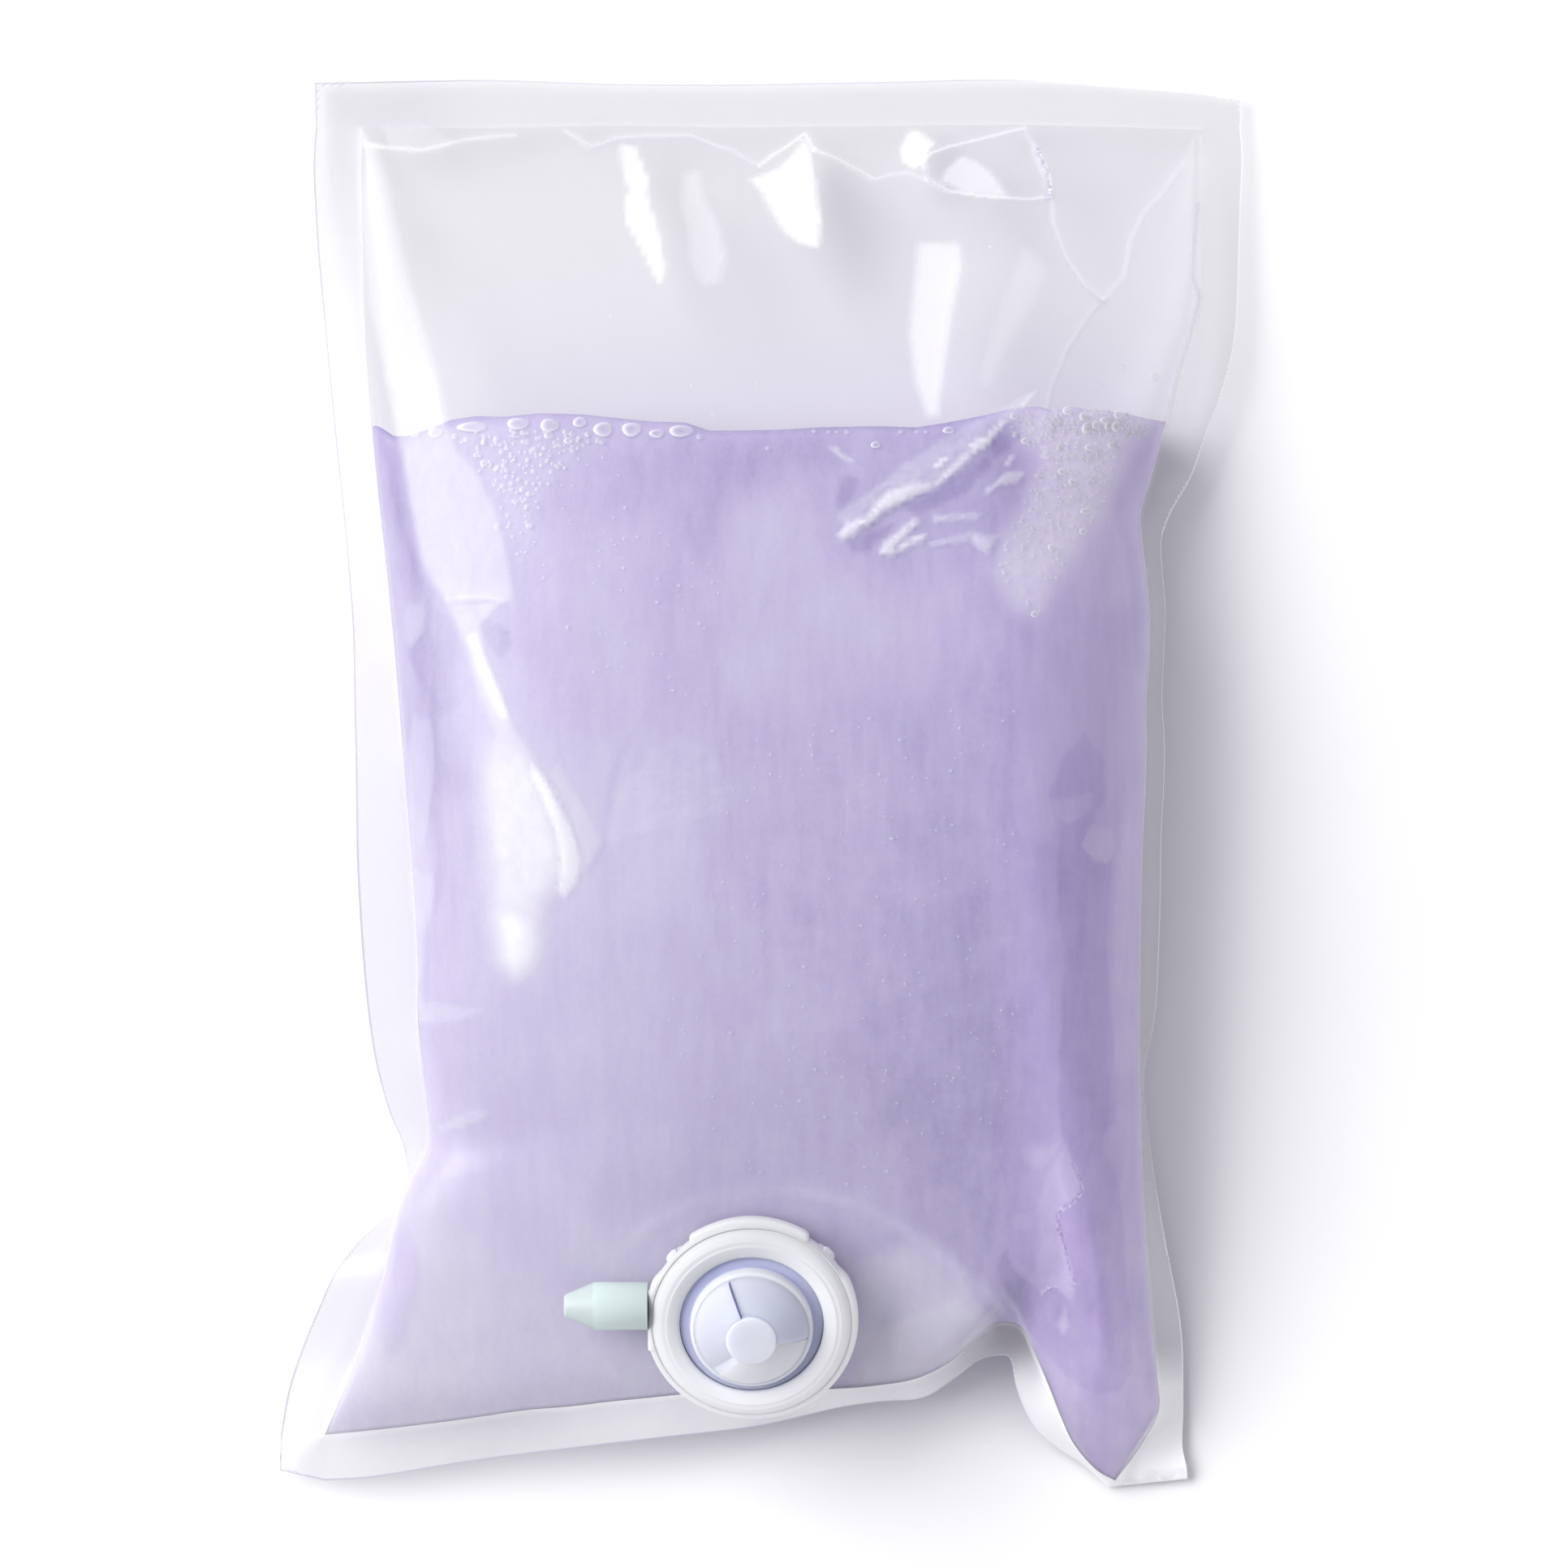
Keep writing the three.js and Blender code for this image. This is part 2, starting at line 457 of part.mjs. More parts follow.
// pump dome: rim, upright wall, three overlapping vanes, flat button; hollow below
{
  const outer = [
    [DOME_R, 7.1], [DOME_R, DOME_SHOULDER - 1.1], [DOME_R - 0.2, DOME_SHOULDER - 0.45], [DOME_R - 0.7, DOME_SHOULDER],
    [9.0, 13.4], [7.2, 14.75], [5.6, 15.85], [BUTTON_R + 0.15, 16.35],
  ];
  const inner = [
    [4.0, 15.2], [6.6, 13.7], [8.8, 12.1], [DOME_R - DOME_WALL, 11.0], [DOME_R - DOME_WALL, 6.7],
  ];
  const profile = [
    [0, DOME_TOP], [BUTTON_R - 0.25, DOME_TOP], [BUTTON_R, DOME_TOP - 0.25], [BUTTON_R, 16.6], ...outer.slice().reverse(),
    [16.9, 7.1], [16.9, 6.7], ...inner.slice().reverse(), [0, 15.6],
  ];
  const g = new THREE.LatheGeometry(profile.map(([r, w]) => new THREE.Vector2(r, w)), 60);
  g.rotateX(Math.PI / 2);
  const d = outward(bare(g));
  // each vane stands proud at one edge and sinks towards the next
  const p = d.attributes.position;
  for (let i = 0; i < p.count; i++) {
    const x = p.getX(i), y = p.getY(i), z = p.getZ(i), r = Math.hypot(x, y);
    if (r < BUTTON_R + 0.05 || r > DOME_R - 0.5 || z < 11.9) continue;
    const inside = inner.some(([a, b]) => Math.abs(r - a) < 0.02 && Math.abs(z - b) < 0.02);
    if (inside) continue;
    let angle = THREE.MathUtils.radToDeg(Math.atan2(y, x));
    let lift = 0;
    for (const edge of VANE_EDGES) {
      const along = ((angle - edge) % 360 + 360) % 360;
      if (along < 120) lift = VANE_STEP * (1 - along / 120);
    }
    p.setZ(i, z + lift * Math.min(1, (DOME_R - 0.4 - r) / 1.2));
  }
  valve.add(piece('pump_dome', d, domeWhite));
}

// nozzle: straight tube pushed on the spigot, coned tip, bored through
const lying = (g) => {
  g.rotateY(-Math.PI / 2);
  g.translate(0, NOZZLE_OFFSET, NOZZLE_W);
  return g;
};
valve.add(piece('nozzle', lying(turned([
  [NOZZLE_BORE, -NOZZLE_START], [NOZZLE_R, -NOZZLE_START], [NOZZLE_R, -NOZZLE_CONE],
  [NOZZLE_TIP_R + 0.1, -NOZZLE_END - 0.25], [NOZZLE_TIP_R - 0.15, -NOZZLE_END], [NOZZLE_TIP_BORE, -NOZZLE_END], [NOZZLE_TIP_BORE, -NOZZLE_END - 2.2],
  [NOZZLE_BORE, -NOZZLE_CONE - 0.4],
], 24)), mint));

// outlet valve: a soft duckbill inside the nozzle
valve.add(piece('outlet_valve', lying(turned([
  [0, 27.6], [0.7, 27.6], [2.0, 24.2], [2.55, 23.8], [2.55, 22.7], [1.5, 22.7], [1.4, 24.0], [0, 26.6],
], 20)), seal));

bag.position.set(...ORIGIN_SHIFT);
export default bag;
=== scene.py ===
import math

import bmesh
import bpy
import numpy as np
from mathutils import Matrix, Vector
from mathutils.geometry import delaunay_2d_cdt


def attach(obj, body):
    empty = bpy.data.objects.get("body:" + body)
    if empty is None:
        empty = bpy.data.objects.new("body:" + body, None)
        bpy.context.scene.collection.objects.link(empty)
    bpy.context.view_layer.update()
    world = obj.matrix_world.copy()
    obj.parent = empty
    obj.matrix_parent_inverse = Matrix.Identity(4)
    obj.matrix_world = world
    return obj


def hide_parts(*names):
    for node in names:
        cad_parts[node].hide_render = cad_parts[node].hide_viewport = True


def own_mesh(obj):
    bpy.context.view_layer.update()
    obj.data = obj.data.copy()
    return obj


# Body wash refill bag, lying on its back: clear film pouch, lilac body wash, press-dome valve.
# Lengths are millimetres up to the point where a mesh is made, and metres from there on.

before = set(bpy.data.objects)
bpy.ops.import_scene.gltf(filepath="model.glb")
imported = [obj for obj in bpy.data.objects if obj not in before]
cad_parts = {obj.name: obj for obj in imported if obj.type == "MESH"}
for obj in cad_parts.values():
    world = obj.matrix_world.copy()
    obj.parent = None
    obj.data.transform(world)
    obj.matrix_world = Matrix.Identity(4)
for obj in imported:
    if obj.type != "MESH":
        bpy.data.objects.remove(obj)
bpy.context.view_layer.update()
COLLECTION = bpy.context.scene.collection

# ---- the pouch's outline: weld's inner edge and film's cut edge, x y z x y z ---------------
LEFT = [
    [-80.36, -119.77, 5.5, -88.63, -120.04, 3],
    [-76.48, -110.91, 7.5, -86.83, -111.06, 6],
    [-73.39, -103.32, 9, -84.21, -103.44, 7.67],
    [-71.09, -95.79, 10, -81.05, -95.9, 8.81],
    [-68.79, -89.76, 11, -78.3, -89.96, 8.66],
    [-67.57, -83.79, 11.5, -73.92, -84.14, 6.83],
    [-66.2, -77.81, 12, -67.68, -78.36, 4.36],
    [-63.8, -72.29, 12.5, -65.26, -72.84, 4.15],
    [-60.8, -66.18, 13, -65.78, -66.59, 6.2],
    [-60.92, -59.93, 13.5, -68.18, -60.17, 9],
    [-61.93, -51.01, 14, -70.48, -51.13, 11.43],
    [-62.67, -42.13, 14, -71.8, -42.18, 12.64],
    [-62.67, -31.76, 14, -72.8, -31.79, 13.13],
    [-63.71, -13.99, 14, -73.87, -14, 12.96],
    [-64.45, -5.11, 14, -74.02, -5.11, 12.7],
    [-65.19, 3.78, 14, -74.16, 3.79, 12.44],
    [-66.11, 15.63, 13.5, -74.44, 15.66, 11.84],
    [-67.18, 27.5, 13, -74.72, 27.55, 11.2],
    [-68.41, 39.38, 12.3, -75.63, 39.45, 10.4],
    [-69.81, 51.3, 11.3, -76.78, 51.39, 9.4],
    [-70.77, 60.25, 10.4, -77.83, 60.36, 8.47],
    [-71.89, 72.22, 9.2, -79.08, 72.35, 7.25],
    [-72.73, 84.23, 7.8, -80.32, 84.37, 5.94],
    [-73.16, 99.29, 6, -81.78, 99.43, 4.4],
    [-73.58, 114.39, 4.2, -82.59, 114.52, 3.01],
    [-73.49, 120.9, 3.4, -82.24, 121.02, 2.4],
]
RIGHT = [
    [65.15, -128.42, 3, 78.37, -125.97, 2.2],
    [68.95, -123.01, 4.5, 77.64, -122.4, 2],
    [72.83, -115.43, 7, 77.79, -115.96, 2],
    [72.59, -108.87, 8.5, 77.77, -109.5, 2.2],
    [71.9, -102.78, 10, 77.58, -103.46, 2.8],
    [71.22, -96.57, 11.3, 76.87, -97.25, 3.6],
    [70.23, -84.41, 13, 74.47, -85.04, 4.89],
    [69.58, -72.19, 14, 72.3, -72.73, 5.8],
    [69.1, -60.16, 14.6, 70.74, -60.62, 6.3],
    [68.94, -53.94, 14.8, 70.34, -54.35, 6.5],
    [68.92, -41.35, 15, 72.31, -41.66, 6.9],
    [69.07, -25.22, 15, 73.12, -25.4, 7.2],
    [69.52, -9.1, 15, 73.41, -9.16, 7.2],
    [69.96, -0.96, 15, 73.87, -0.96, 7.05],
    [70.12, 7.18, 14.8, 74.03, 7.23, 6.9],
    [70.14, 15.18, 14.5, 73.6, 15.29, 6.55],
    [70.76, 23.33, 14, 73.92, 23.5, 6.2],
    [70.79, 31.48, 13.6, 74.24, 31.71, 5.86],
    [70.22, 37.87, 13.2, 73.79, 38.13, 5.6],
    [69.5, 44.41, 12.8, 73.53, 44.7, 5.6],
    [69.23, 49.32, 12.3, 75.16, 49.62, 5.8],
    [71.22, 55.89, 11.4, 78.84, 56.16, 6.27],
    [73.67, 64.72, 10.2, 81.96, 64.94, 6.52],
    [75.36, 70.72, 9.4, 84.33, 70.93, 6.2],
    [77.65, 78.23, 8.4, 86.51, 78.44, 5.4],
    [79.35, 84.24, 7.6, 87.45, 84.45, 4.87],
    [80.32, 94.77, 6.4, 87.94, 94.99, 3.98],
    [80.57, 106.84, 5, 88.36, 107.02, 3.16],
    [80.65, 115.92, 3.9, 88.74, 116.05, 2.6],
    [80.68, 120.46, 3.4, 88.39, 120.58, 2.3],
]
BOTTOM = [
    [-80.36, -119.77, 5.5, -80.52, -128.37, 3.4],
    [-72.79, -118.86, 7, -72.18, -127.74, 5],
    [-56.25, -116.65, 9.5, -55.52, -124.87, 6.6],
    [-42.78, -114.51, 11.5, -42.19, -122.92, 8],
    [-35.34, -113.84, 12.2, -34.72, -121.96, 8.6],
    [-27.9, -112.87, 13, -27.27, -121.02, 9],
    [-20.47, -112.07, 13.6, -19.83, -120.11, 9.2],
    [-13.06, -111.29, 14, -11.65, -119.24, 9],
    [-1.21, -110.64, 14.5, -0.05, -117.79, 8.6],
    [13.59, -110.32, 14.8, 14.55, -114.54, 7],
    [20.99, -109.7, 15, 21.71, -113.49, 7],
    [28.38, -108.35, 15.2, 29.75, -112.73, 7.2],
    [34.29, -105.37, 15.5, 35.7, -108.97, 7.5],
    [38.71, -101.47, 16, 40.15, -105.63, 8.2],
    [42.83, -98.18, 16.5, 43.68, -104.77, 9.4],
    [46.99, -98.81, 16, 45.31, -105.05, 9.6],
    [49.39, -102.9, 15, 46.68, -110.5, 8.6],
    [52.29, -109.61, 13, 48.26, -114.9, 6.4],
    [54.76, -115.9, 11, 50.74, -119.01, 4.2],
    [57.26, -121.08, 8.5, 54.86, -122.65, 2.4],
    [61.76, -126.39, 5, 59.4, -125.76, 1.4],
    [65.15, -128.42, 3, 64.06, -129.84, 1.1],
]
TOP = [
    [-73.49, 120.9, 3.4, -73.57, 129.42, 2.2],
    [-50.61, 120.76, 3.4, -50.68, 129.82, 2],
    [-28.18, 121.2, 3.4, -28.22, 129.12, 2],
    [-5.75, 120.9, 3.4, -5.76, 128.96, 2],
    [9.2, 121.05, 3.4, 9.21, 129.24, 2],
    [24.16, 121.2, 3.4, 24.18, 129.5, 2],
    [46.59, 121.35, 3.4, 46.64, 129.89, 2],
    [66.03, 120.9, 3.4, 66.11, 128.7, 2],
    [80.68, 120.46, 3.4, 80.77, 127.47, 2.2],
]
CORNERS = {"BL": [-88.78, -126.62, 3.0], "BR": [78.58, -128.31, 1.4], "TL": [-82.41, 129.27, 2.2], "TR": [88.57, 126.3, 2.0]}

SHIFT = np.array([0.02, -0.015, 0.0])
HALF = 0.45
CREST = [
    (0, 14.9), (0.03, 19.0), (0.065, 22.6), (0.1, 25.8), (0.15, 29.8), (0.22, 33.8), (0.3, 37.2), (0.4, 39.8),
    (0.5, 40.3), (0.6, 38.4), (0.7, 33.8), (0.773, 28.8), (0.85, 21.8), (0.92, 14.4), (0.97, 8.5), (1, 3.85),
]
FULLNESS = 2.8
FLOOR_RUN = 19.0
VALVE_AT = (-1.7, -94.35)
TILT = math.radians(17)

# ---- the view: straight down, the frame 289.8 mm wide on the surface ------------------------
EYE = (4.14, -0.085, 1100.0)
PX = 0.15
MID = 966.0


def to_px(x, y, z):
    f = PX * (1 - z / EYE[2])
    return MID + (x - EYE[0]) / f, MID - (y - EYE[1]) / f


def from_px(px, py, z):
    f = PX * (1 - z / EYE[2])
    return (px - MID) * f + EYE[0], -(py - MID) * f + EYE[1]


# ---- curves ---------------------------------------------------------------------------------
def through(points, t):
    """centripetal curve through the points, at t from 0 to 1"""
    n = len(points)
    p = np.clip(t, 0, 1) * (n - 1)
    i = np.minimum(np.floor(p).astype(int), n - 2)
    w = (p - i)[:, None]
    e = np.vstack([2 * points[0] - points[1], points, 2 * points[-1] - points[-2]])
    a, b, c, d = e[i], e[i + 1], e[i + 2], e[i + 3]
    gap = lambda m, k: np.maximum(((m - k) ** 2).sum(1) ** 0.25, 1e-4)[:, None]
    g0, g1, g2 = gap(a, b), gap(b, c), gap(c, d)
    t1 = ((b - a) / g0 - (c - a) / (g0 + g1) + (c - b) / g1) * g1
    t2 = ((c - b) / g1 - (d - b) / (g1 + g2) + (d - c) / g2) * g1
    return b + t1 * w + (-3 * b + 3 * c - 2 * t1 - t2) * w**2 + (2 * b - 2 * c + t1 + t2) * w**3


class Border:
    def __init__(self, rows):
        rows = np.array(rows, float)
        self.weld, self.cut = rows[:, :3], rows[:, 3:]
        self.t = np.linspace(0, 1, 601)
        step = np.linalg.norm(np.diff(through(self.weld, self.t), axis=0), axis=1)
        self.share = np.concatenate([[0], np.cumsum(step)]) / step.sum()

    def at(self, share):
        t = np.interp(share, self.share, self.t)
        return through(self.weld, t), through(self.cut, t)


EDGES = {"L": Border(LEFT), "R": Border(RIGHT), "B": Border(BOTTOM), "T": Border(TOP)}
ENDS = {k: EDGES[k[0]].at(np.array([float(k[1])]))[0][0] for k in ("B0", "B1", "T0", "T1")}


def smooth(x, a, b):
    t = np.clip((x - a) / (b - a), 0, 1)
    return t * t * (3 - 2 * t)


def monotone(table, x):
    xs, ys = np.array([r[0] for r in table], float), np.array([r[1] for r in table], float)
    h = np.diff(xs)
    s = np.diff(ys) / h
    m = np.zeros(len(xs))
    m[0], m[-1] = s[0], s[-1]
    for i in range(1, len(xs) - 1):
        m[i] = 0 if s[i - 1] * s[i] <= 0 else 2 * s[i - 1] * s[i] / (s[i - 1] + s[i])
    x = np.clip(x, xs[0], xs[-1])
    i = np.minimum(np.searchsorted(xs, x, side="right") - 1, len(xs) - 2)
    t = (x - xs[i]) / h[i]
    return ((2 * t**3 - 3 * t**2 + 1) * ys[i] + (t**3 - 2 * t**2 + t) * h[i] * m[i]
            + (-2 * t**3 + 3 * t**2) * ys[i + 1] + (t**3 - t**2) * h[i] * m[i + 1])


def flat_sheet(u, v):
    """the sheet between the four welds, before the liquid swells it"""
    l, r = EDGES["L"].at(v)[0], EDGES["R"].at(v)[0]
    b, t = EDGES["B"].at(u)[0], EDGES["T"].at(u)[0]
    u, v = u[:, None], v[:, None]
    return (l * (1 - u) + r * u + b * (1 - v) + t * v
            - (1 - u) * (1 - v) * ENDS["B0"] - u * (1 - v) * ENDS["B1"] - (1 - u) * v * ENDS["T0"] - u * v * ENDS["T1"])


def crest(u, v):
    p = flat_sheet(u, v)
    middle = flat_sheet(np.full_like(v, 0.5), v)[:, 2] + HALF
    round_ = (1 - np.clip(np.abs(2 * u - 1), 0, 1) ** FULLNESS) ** (1 / FULLNESS)
    return p[:, 0], p[:, 1], p[:, 2] + HALF + np.maximum(0, monotone(CREST, v) - middle) * round_


def _seat():
    uu, vv = np.meshgrid(0.35 + 0.35 * np.arange(61) / 60, 0.2 * np.arange(61) / 60, indexing="ij")
    x, y, z = crest(uu.ravel(), vv.ravel())
    return z[np.argmin(np.hypot(x - VALVE_AT[0], y - VALVE_AT[1]))] - 1.0


SEAT = _seat()


def front(u, v):
    """outside of the front web: x, y, z"""
    x, y, z = crest(u, v)
    r = np.hypot(x - VALVE_AT[0], y - VALVE_AT[1])
    plane = SEAT + math.tan(TILT) * (y - VALVE_AT[1])
    k = 1.2
    h = np.clip(0.5 + 0.5 * (z - plane) / k, 0, 1)
    met = z + (plane - z) * h - k * h * (1 - h)
    fade = smooth(58 - r, 0, 14)
    held = 1 - smooth(r, 12.3, 18.8)
    out = z + (met - z) * fade
    out = out + (plane - out) * held
    return x + SHIFT[0], y + SHIFT[1], np.where(r > 58, z, out)


def back(u, v):
    """outside of the back web"""
    p = flat_sheet(u, v)
    width = np.hypot(*(EDGES["L"].at(v)[0] - EDGES["R"].at(v)[0])[:, :2].T)
    inward = np.minimum(np.minimum(u, 1 - u) * width, np.minimum(v, 1 - v) * 235)
    t = np.clip(1 - inward / FLOOR_RUN, 0, 1)
    return p[:, 0] + SHIFT[0], p[:, 1] + SHIFT[1], (p[:, 2] - HALF) * (1 - np.sqrt(np.maximum(0, 1 - t * t)))


_gu, _gv = np.meshgrid(np.linspace(0, 1, 61), np.linspace(0, 1, 91), indexing="ij")
_gu, _gv = _gu.ravel(), _gv.ravel()
_gxy = flat_sheet(_gu, _gv)[:, :2] + SHIFT[:2]


def uv_of_xy(x, y, steps=5):
    """the sheet's own coordinates of points on the bag, seen from above"""
    u, v = np.empty(len(x)), np.empty(len(x))
    for a in range(0, len(x), 2000):
        d = (_gxy[None, :, 0] - x[a:a + 2000, None]) ** 2 + (_gxy[None, :, 1] - y[a:a + 2000, None]) ** 2
        k = d.argmin(1)
        u[a:a + 2000], v[a:a + 2000] = _gu[k], _gv[k]
    e = 1e-4
    for _ in range(steps):
        uc, vc = np.clip(u, e, 1 - e), np.clip(v, e, 1 - e)
        p = flat_sheet(uc, vc)[:, :2] + SHIFT[:2]
        du = (flat_sheet(np.minimum(uc + e, 1), vc)[:, :2] + SHIFT[:2] - p) / e
        dv = (flat_sheet(uc, np.minimum(vc + e, 1))[:, :2] + SHIFT[:2] - p) / e
        rx, ry = x - p[:, 0], y - p[:, 1]
        det = du[:, 0] * dv[:, 1] - du[:, 1] * dv[:, 0]
        det = np.where(np.abs(det) < 1e-9, 1e-9, det)
        u = np.clip(uc + (rx * dv[:, 1] - ry * dv[:, 0]) / det, 0, 1)
        v = np.clip(vc + (du[:, 0] * ry - du[:, 1] * rx) / det, 0, 1)
    return u, v


def uv_of_px(px, py):
    """where the front web shows at this place of the picture"""
    px, py = np.asarray(px, float), np.asarray(py, float)
    z = np.full(len(px), 22.0)
    for _ in range(7):
        x, y = from_px(px, py, z)
        u, v = uv_of_xy(x, y, 4)
        z = 0.35 * z + 0.65 * front(u, v)[2]
    x, y = from_px(px, py, front(u, v)[2])
    return u, v


# ---- outlines drawn on the web, as places in the picture ------------------------------------
def inside(px, py, outline):
    o = np.array(outline, float)
    hit = np.zeros(len(px), bool)
    for (ax, ay), (bx, by) in zip(o, np.roll(o, -1, 0)):
        if ay == by:
            continue
        cross = (ay > py) != (by > py)
        hit ^= cross & (px < (bx - ax) * (py - ay) / (by - ay) + ax)
    return hit


def distance(px, py, line, closed=False):
    """distance to a line of places, and how far along it the nearest point is, from 0 to 1"""
    o = np.array(line, float)
    if closed:
        o = np.vstack([o, o[:1]])
    best, along = np.full(len(px), 1e9), np.zeros(len(px))
    length = np.linalg.norm(np.diff(o, axis=0), axis=1)
    start, total = np.concatenate([[0], np.cumsum(length)]), length.sum()
    for k in range(len(o) - 1):
        d = o[k + 1] - o[k]
        t = np.clip(((px - o[k, 0]) * d[0] + (py - o[k, 1]) * d[1]) / max(d @ d, 1e-9), 0, 1)
        r = np.hypot(px - o[k, 0] - t * d[0], py - o[k, 1] - t * d[1])
        near = r < best
        best = np.where(near, r, best)
        along = np.where(near, (start[k] + t * length[k]) / total, along)
    return best, along


def side(px, py, line):
    """signed distance to a line: above 0 to its right as it runs in the picture"""
    o = np.array(line, float)
    best, sign = np.full(len(px), 1e9), np.ones(len(px))
    for k in range(len(o) - 1):
        d = o[k + 1] - o[k]
        t = np.clip(((px - o[k, 0]) * d[0] + (py - o[k, 1]) * d[1]) / max(d @ d, 1e-9), 0, 1)
        r = np.hypot(px - o[k, 0] - t * d[0], py - o[k, 1] - t * d[1])
        s = np.sign(-(px - o[k, 0]) * d[1] + (py - o[k, 1]) * d[0])
        near = r < best
        best, sign = np.where(near, r, best), np.where(near, s, sign)
    return best * sign


def patch(px, py, outline, soft=8.0, grow=0.0):
    """1 inside an outline, 0 outside, with an edge of this softness"""
    d, _ = distance(px, py, outline, True)
    d = np.where(inside(px, py, outline), d, -d) + grow
    return smooth(d, -soft / 2, soft / 2)


def hashed(i, k=0):
    """a fixed number from 0 to 1 for each whole number"""
    x = np.sin(np.asarray(i, float) * 12.9898 + k * 78.233 + 1.7) * 43758.5453
    return x - np.floor(x)


def value_noise(x, y, seed=0):
    xi, yi = np.floor(x), np.floor(y)
    tx, ty = x - xi, y - yi
    tx, ty = tx * tx * (3 - 2 * tx), ty * ty * (3 - 2 * ty)
    h = lambda a, b: hashed(a * 57.0 + b * 131.0, seed)
    return ((h(xi, yi) * (1 - tx) + h(xi + 1, yi) * tx) * (1 - ty)
            + (h(xi, yi + 1) * (1 - tx) + h(xi + 1, yi + 1) * tx) * ty) * 2 - 1


def clouds(x, y, seed=0, octaves=3):
    total, scale = 0, 1.0
    for o in range(octaves):
        total = total + value_noise(x * 2**o, y * 2**o, seed + o) * scale
        scale *= 0.5
    return total / (2 - 2 ** (1 - octaves))


# ---- meshes -----------------------------------------------------------------------------------
def mesh_object(name, verts, faces, smooth_shade=True):
    """verts in millimetres"""
    me = bpy.data.meshes.new(name)
    verts = np.asarray(verts, np.float64) / 1000
    if isinstance(faces, np.ndarray):
        n, k = faces.shape
        me.vertices.add(len(verts))
        me.vertices.foreach_set("co", verts.astype(np.float32).ravel())
        me.loops.add(n * k)
        me.loops.foreach_set("vertex_index", faces.astype(np.int32).ravel())
        me.polygons.add(n)
        me.polygons.foreach_set("loop_start", np.arange(0, n * k, k, dtype=np.int32))
        me.polygons.foreach_set("loop_total", np.full(n, k, np.int32))
        me.update(calc_edges=True)
    else:
        me.from_pydata([tuple(v) for v in verts], [], [tuple(f) for f in faces])
    me.validate()
    me.polygons.foreach_set("use_smooth", np.full(len(me.polygons), smooth_shade))
    me.update()
    ob = bpy.data.objects.new(name, me)
    COLLECTION.objects.link(ob)
    return ob


def put(ob, name, values, domain="POINT"):
    a = ob.data.attributes.new(name, "FLOAT", domain)
    a.data.foreach_set("value", np.asarray(values, np.float32))


def triangulate(points, edges, keep):
    """triangles over the points with these edges kept; keep(centres) says which stay. Returns points, triangles and where each point came from"""
    out = delaunay_2d_cdt([Vector((float(a), float(b))) for a, b in points], edges, [], 0, 1e-7)
    xy = np.array([(p[0], p[1]) for p in out[0]])
    tri = np.array(out[2], int)
    source = np.array([s[0] if len(s) else -1 for s in out[3]], int)
    centre = xy[tri].mean(1)
    tri = tri[keep(centre[:, 0], centre[:, 1])]
    a, b, c = xy[tri[:, 0]], xy[tri[:, 1]], xy[tri[:, 2]]
    area = (b[:, 0] - a[:, 0]) * (c[:, 1] - a[:, 1]) - (b[:, 1] - a[:, 1]) * (c[:, 0] - a[:, 0])
    tri = np.where((area < 0)[:, None], tri[:, ::-1], tri)
    tri = tri[np.abs(area) > 1e-9]
    used = np.zeros(len(xy), bool)
    used[tri] = True
    index = np.cumsum(used) - 1
    return xy[used], index[tri], source[used]


# ---- places traced on the pouch, in the picture's pixels ----------------------------------------
LEVEL = [(440, 536), (462, 523), (470, 527), (485, 537), (500, 537), (530, 528), (554, 517), (586, 512), (620, 513), (665, 508.5), (717, 510), (769, 515.5),
         (804, 519), (845, 520), (873, 530), (905, 530), (960, 529), (1009, 526), (1078, 524.5), (1130, 526), (1165, 520.5),
         (1210, 512), (1245, 503), (1280, 500), (1297, 505), (1321, 500), (1342, 505), (1363, 505), (1390, 510), (1422, 517), (1460, 522)]

# glossy light on the left flank, from the top weld down to the middle of the bag
SHEEN_TOP = [(452, 196), (464, 230), (487, 318), (513, 394), (536, 470), (545, 515), (565, 557), (592, 588), (613, 633), (627, 696), (632, 742),
             (600, 738), (549, 738), (523, 703), (509, 633), (495, 560), (478, 480), (462, 400), (451, 318), (446, 223)]
SHEEN_NECK = [(551, 742), (618, 742), (600, 762), (592, 772), (596, 800), (604, 824), (618, 858), (634, 900), (662, 938), (686, 991), (700, 1015),
              (712, 1045), (716, 1070), (708, 1094), (694, 1107), (672, 1112), (664, 1150), (663, 1190), (648, 1204), (622, 1196), (612, 1160),
              (604, 1110), (606, 1040), (600, 980), (606, 930), (612, 905), (604, 884), (590, 850), (580, 815), (570, 785)]
SHEEN_CORE = [(655, 942), (672, 960), (688, 990), (706, 1022), (716, 1060), (712, 1086), (696, 1107), (688, 1098), (692, 1060), (684, 1020), (668, 980), (656, 958)]
SHEEN_LINE = [(579, 776), (588, 800), (595, 822), (612, 859), (624, 890)]
SHEEN_END = [(612, 1128), (664, 1128), (668, 1165), (655, 1198), (632, 1205), (612, 1180)]

